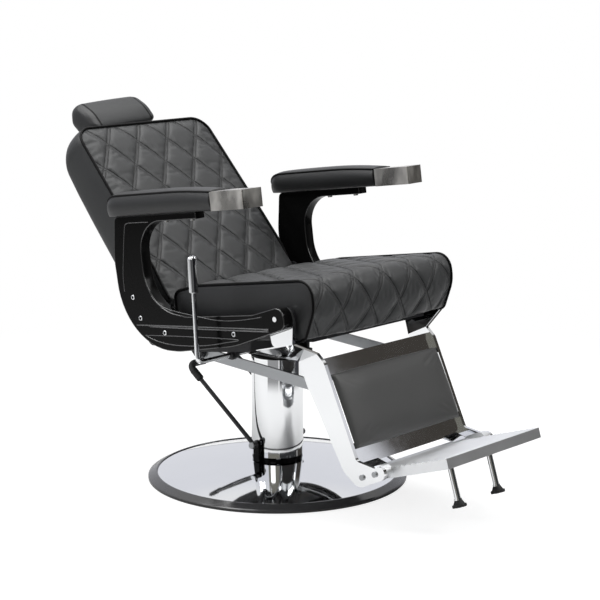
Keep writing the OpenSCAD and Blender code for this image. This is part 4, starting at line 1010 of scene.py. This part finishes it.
def make_side_frames():
    looks = finishes()
    frame_of = seat_frame()
    outline = rounded(list(FRAME_OUTLINE), 14)
    for sign, side in ((-1, "right"), (1, "left")):
        bm = bmesh.new()
        ring = bmesh.ops.create_circle(bm, cap_ends=True, segments=len(outline), radius=1)["verts"]
        for vertex, spot in zip(ring, outline):
            vertex.co = (sign * FRAME_IN, spot.x, spot.y)
        made = bmesh.ops.extrude_face_region(bm, geom=bm.faces[:])["geom"]
        for vertex in kinds(made, bmesh.types.BMVert):
            vertex.co.x = sign * FRAME_OUT
        rims = [e for e in bm.edges if abs(e.verts[0].co.x - e.verts[1].co.x) < 1e-6]
        # The bevelled edges take the edge material, a painted highlight along the frame's rims.
        for face in bmesh.ops.bevel(bm, geom=rims, offset=0.0055, segments=5, profile=0.5, affect="EDGES",
                                    material=-1, clamp_overlap=True)["faces"]:
            face.material_index = 1
        bmesh.ops.transform(bm, matrix=frame_of, verts=bm.verts)
        piece = finish_mesh("side_frame_moulding_" + side, bm, [looks["enamel"], looks["edge"]], "seat", "black_gloss")
        for face in piece.data.polygons:
            if len(face.vertices) > 8:
                face.use_smooth = False
        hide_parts("side_frame_" + side)
        # The beads take the bead material, which paints a highlight along each of them.
        for number, (bead, radius) in enumerate(zip(FRAME_BEADS, BEAD_RADII), 1):
            places = [frame_of @ Vector((sign * (FRAME_OUT + 0.0001), p.x, p.y)) for p in softened(bead)]
            sweep(f"side_frame_bead_{side}_{number}", places, radius, looks["bead"], "seat", "black_gloss", sides=8)
        for number, spot in enumerate(SCREWS, 1):
            make_screw(f"side_frame_screw_{side}_{number}", frame_of, sign, *spot)


def make_screw(name, frame_of, sign, p, q):
    """A button head with a hexagon socket, on the outer face of a side frame."""
    looks = finishes()
    count = 24
    corner = [1 / math.cos((math.tau * k / count + math.pi / 6) % (math.pi / 3) - math.pi / 6) for k in range(count)]
    rings = ((0.0061, 0.0002, 0), (0.0061, 0.0011, 0), (0.0056, 0.0020, 0), (0.0048, 0.0024, 0),
             (0.0034, 0.0024, 1), (0.0033, 0.0003, 1))
    bm = bmesh.new()

    def place(i, j):
        radius, out, hexagonal = rings[j]
        turn = math.tau * (i % count) / count
        radius *= corner[i % count] if hexagonal else 1
        return frame_of @ Vector((sign * (FRAME_OUT + out), p + radius * math.cos(turn), q + radius * math.sin(turn)))

    grid(bm, count, len(rings) - 1, place)
    inward = frame_of.inverted()
    bmesh.ops.remove_doubles(bm, verts=bm.verts[:], dist=0.00001)
    close(bm)
    # The socket's faces take the black enamel: painted shade in the hexagon's recess.
    socket = {v for v in bm.verts if (inward @ v.co - Vector((sign * FRAME_OUT, p, q))).length < 0.0050
              and ((inward @ v.co).yz - Vector((p, q))).length < 0.0041}
    for face in bm.faces:
        if all(v in socket for v in face.verts):
            face.material_index = 1
    piece = finish_mesh(name, bm, [looks["aluminium"], looks["enamel"]], "seat", "chrome")
    piece.data.set_sharp_from_angle(angle=math.radians(40))
    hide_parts("side_frame_screws")


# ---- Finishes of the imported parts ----

def finish_parts():
    looks = finishes()
    for part in frame["record"]["subparts"]:
        node = frame["nodes"][part["node"]]
        node.data.materials.clear()
        node.data.materials.append(looks[NODE_FINISH.get(part["node"], SLOT_FINISH[part["material_slot"]])])


# ---- Stage ----

LAMPS = (
    ("key", (1.5, -2.7, 2.9), 2.0, 62, (0, -0.1, 0.5)),
    ("top", (0.2, 0.3, 3.4), 3.0, 95, (0, 0, 0.3)),
    ("rear", (-2.0, 1.8, 3.0), 1.8, 60, (0, 0.2, 0.6)),
    ("side", (-3.0, -1.2, 1.6), 1.2, 7, (0, 0, 0.5)),
)


FLOOR_HALF, FLOOR_DROP = 14, 0.0004
CAMERA_LENS, SENSOR_WIDTH = 108, 36
CAMERA_PLACE = (-3.2270, -2.9563, 1.2935)
CAMERA_AXES = ((0.6659, -0.7460, 0), (0.1414, 0.1262, 0.9818), (-0.7325, -0.6538, 0.1896))


def make_floor():
    """A pale floor that keeps its shadow, turns white away from the chair and has a dark sector in reflections."""
    bm = bmesh.new()
    bmesh.ops.create_grid(bm, x_segments=1, y_segments=1, size=FLOOR_HALF)
    mesh = bpy.data.meshes.new("floor")
    bm.to_mesh(mesh)
    bm.free()
    floor = bpy.data.objects.new("floor", mesh)
    floor.location.z = -FLOOR_DROP
    bpy.context.scene.collection.objects.link(floor)
    material = bpy.data.materials.new("Studio floor")
    t = Tree(material)
    pale, bare, shadow = [t.add("BsdfDiffuse", tint).outputs[0] for tint in
                          ((0.8, 0.8, 0.8, 1), (0.04, 0.04, 0.045, 1), (0.36, 0.36, 0.36, 1))]
    lit = t.add("AddShader", shadow, t.add("Emission", Strength=0.8).outputs[0]).outputs[0]
    white = t.add("Emission").outputs[0]
    places = t.add("TexCoord").outputs["Object"]
    reach = t.add("VectorMath", places, operation="LENGTH").outputs["Value"]
    x, y, _ = t.split(places)
    turn = t.math("ARCTAN2", y, x)
    seen = t.blend(t.between(reach, 0, 1, 0.8, 2.0, "SMOOTHSTEP"), lit, white)
    dark = t.math("MAXIMUM", t.sector(turn, (-130, -127), (-28, -31), "LINEAR"),
                  t.between(turn, 0, 0.72, math.radians(-131), math.radians(-134)))
    dark = t.math("MULTIPLY", dark, t.between(reach, 0, 1, 0.98, 1.12))
    path = t.add("LightPath").outputs
    sheet = t.blend(t.math("MULTIPLY", dark, path["Is Glossy Ray"]), pale, bare)
    t.add("OutputMaterial", t.blend(path["Is Camera Ray"], sheet, seen))
    mesh.materials.append(material)


def make_world():
    """White behind the chair, soft light around it, and a dark room on the right for the reflections."""
    world = bpy.data.worlds.new("Studio")
    bpy.context.scene.world = world
    t = Tree(world)

    def light(colour, strength):
        return t.add("Background", (*colour, 1), strength).outputs[0]

    def over(value, start, end):
        return t.between(value, 0, 1, start, end, "SMOOTHSTEP")

    def sector(rise, fall):
        return t.sector(turn, rise, fall, "SMOOTHSTEP")

    x, y, height = t.split(t.add("TexCoord").outputs["Generated"])
    turn = t.math("ARCTAN2", y, x)
    room = t.blend(sector((-38.9, -37.9), (12, -2)), light((0.93, 0.94, 1), 0.8), light((1, 0.9, 0.8), 0.05))
    front = t.blend(over(height, 0.27, 0.31), light((1, 0.97, 0.93), 0.3), light((0.96, 0.97, 1), 0.8))
    room = t.blend(sector((-95, -85), (-38.7, -39.9)), room, front)
    room = t.blend(over(height, 0.5, 0.7), room, light((1, 1, 1), 0.9))
    low = over(height, 0.86, 0.76)
    for start, end, colour, strength in ((-185, -127, (0.95, 0.92, 0.8), 0.2), (-130, -44, (0.9, 0.95, 1), 0.035)):
        share = t.math("MULTIPLY", low, sector((start, start + 3), (end, end - 3)))
        room = t.blend(share, room, light(colour, strength))
    path = t.add("LightPath").outputs
    through = t.math("MAXIMUM", path["Is Camera Ray"], path["Is Transmission Ray"])
    soft = t.blend(path["Is Glossy Ray"], light((0.97, 0.98, 1), 0.22), room)
    t.add("OutputWorld", t.blend(through, soft, light((1, 1, 1), 1)))


def make_lamps():
    for name, place, size, power, aim in LAMPS:
        data = bpy.data.lights.new(name, "AREA")
        data.shape = "SQUARE"
        data.size = size
        data.energy = power
        lamp = bpy.data.objects.new(name, data)
        lamp.location = place
        lamp.rotation_euler = (Vector(aim) - Vector(place)).to_track_quat("-Z", "Y").to_euler()
        bpy.context.scene.collection.objects.link(lamp)


def make_camera():
    scene = bpy.context.scene
    data = bpy.data.cameras.new("camera")
    data.lens = CAMERA_LENS
    data.sensor_width = SENSOR_WIDTH
    camera = bpy.data.objects.new("camera", data)
    camera.matrix_world = Matrix.Translation(CAMERA_PLACE) @ Matrix(CAMERA_AXES).transposed().to_4x4()
    scene.collection.objects.link(camera)
    scene.camera = camera


def make_stage():
    make_floor()
    make_world()
    make_lamps()
    make_camera()
    bpy.context.scene.view_settings.view_transform = "Standard"


# ---- Operators ----

class PieceOperator:
    bl_options = {"REGISTER", "UNDO"}


class CHAIR_OT_seat(PieceOperator, bpy.types.Operator):
    """Make the quilted seat cushion with its side panels and piping"""
    bl_idname = "chair.seat"
    bl_label = "Seat Cushion"

    def execute(self, context):
        make_seat_cushion()
        return {"FINISHED"}


class CHAIR_OT_back(PieceOperator, bpy.types.Operator):
    """Make the quilted backrest with its boxing and piping"""
    bl_idname = "chair.back"
    bl_label = "Backrest"

    def execute(self, context):
        make_backrest()
        return {"FINISHED"}


class CHAIR_OT_headrest(PieceOperator, bpy.types.Operator):
    """Make the headrest roll with its end panels"""
    bl_idname = "chair.headrest"
    bl_label = "Headrest"

    def execute(self, context):
        make_headrest()
        return {"FINISHED"}


class CHAIR_OT_armrests(PieceOperator, bpy.types.Operator):
    """Make both armrest pads"""
    bl_idname = "chair.armrests"
    bl_label = "Armrest Pads"

    def execute(self, context):
        make_armrests()
        return {"FINISHED"}


class CHAIR_OT_legrest(PieceOperator, bpy.types.Operator):
    """Make the legrest pad"""
    bl_idname = "chair.legrest"
    bl_label = "Legrest Pad"

    def execute(self, context):
        make_legrest_pad()
        return {"FINISHED"}


class CHAIR_OT_frames(PieceOperator, bpy.types.Operator):
    """Make both side frames with their beads and screws"""
    bl_idname = "chair.frames"
    bl_label = "Side Frames"

    def execute(self, context):
        make_side_frames()
        return {"FINISHED"}


class CHAIR_OT_finishes(PieceOperator, bpy.types.Operator):
    """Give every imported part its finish"""
    bl_idname = "chair.finishes"
    bl_label = "Finishes"

    def execute(self, context):
        finish_parts()
        return {"FINISHED"}


class CHAIR_OT_stage(PieceOperator, bpy.types.Operator):
    """Make the floor, the lamps and the camera"""
    bl_idname = "chair.stage"
    bl_label = "Stage"

    def execute(self, context):
        make_stage()
        return {"FINISHED"}


class CHAIR_PT_panel(bpy.types.Panel):
    bl_idname = "CHAIR_PT_panel"
    bl_label = "Barber Chair"
    bl_space_type = "VIEW_3D"
    bl_region_type = "UI"
    bl_category = "Barber Chair"

    def draw(self, context):
        for operator in OPERATORS:
            self.layout.operator(operator.bl_idname)
        for group in (context.scene.chair_sizes, context.scene.chair_finishes):
            box = self.layout.box()
            for name in group.__annotations__:
                box.prop(group, name)


OPERATORS = (CHAIR_OT_finishes, CHAIR_OT_seat, CHAIR_OT_back, CHAIR_OT_headrest, CHAIR_OT_armrests,
             CHAIR_OT_legrest, CHAIR_OT_frames, CHAIR_OT_stage)
CLASSES = (ChairSizes, ChairFinishes, *OPERATORS, CHAIR_PT_panel)


def register():
    for item in CLASSES:
        bpy.utils.register_class(item)
    bpy.types.Scene.chair_sizes = PointerProperty(type=ChairSizes)
    bpy.types.Scene.chair_finishes = PointerProperty(type=ChairFinishes)


def unregister():
    del bpy.types.Scene.chair_finishes
    del bpy.types.Scene.chair_sizes
    for item in reversed(CLASSES):
        bpy.utils.unregister_class(item)


def main():
    register()
    bpy.ops.chair.finishes()
    bpy.ops.chair.seat()
    bpy.ops.chair.back()
    bpy.ops.chair.headrest()
    bpy.ops.chair.armrests()
    bpy.ops.chair.legrest()
    bpy.ops.chair.frames()
    bpy.ops.chair.stage()


if __name__ == "__main__":
    main()
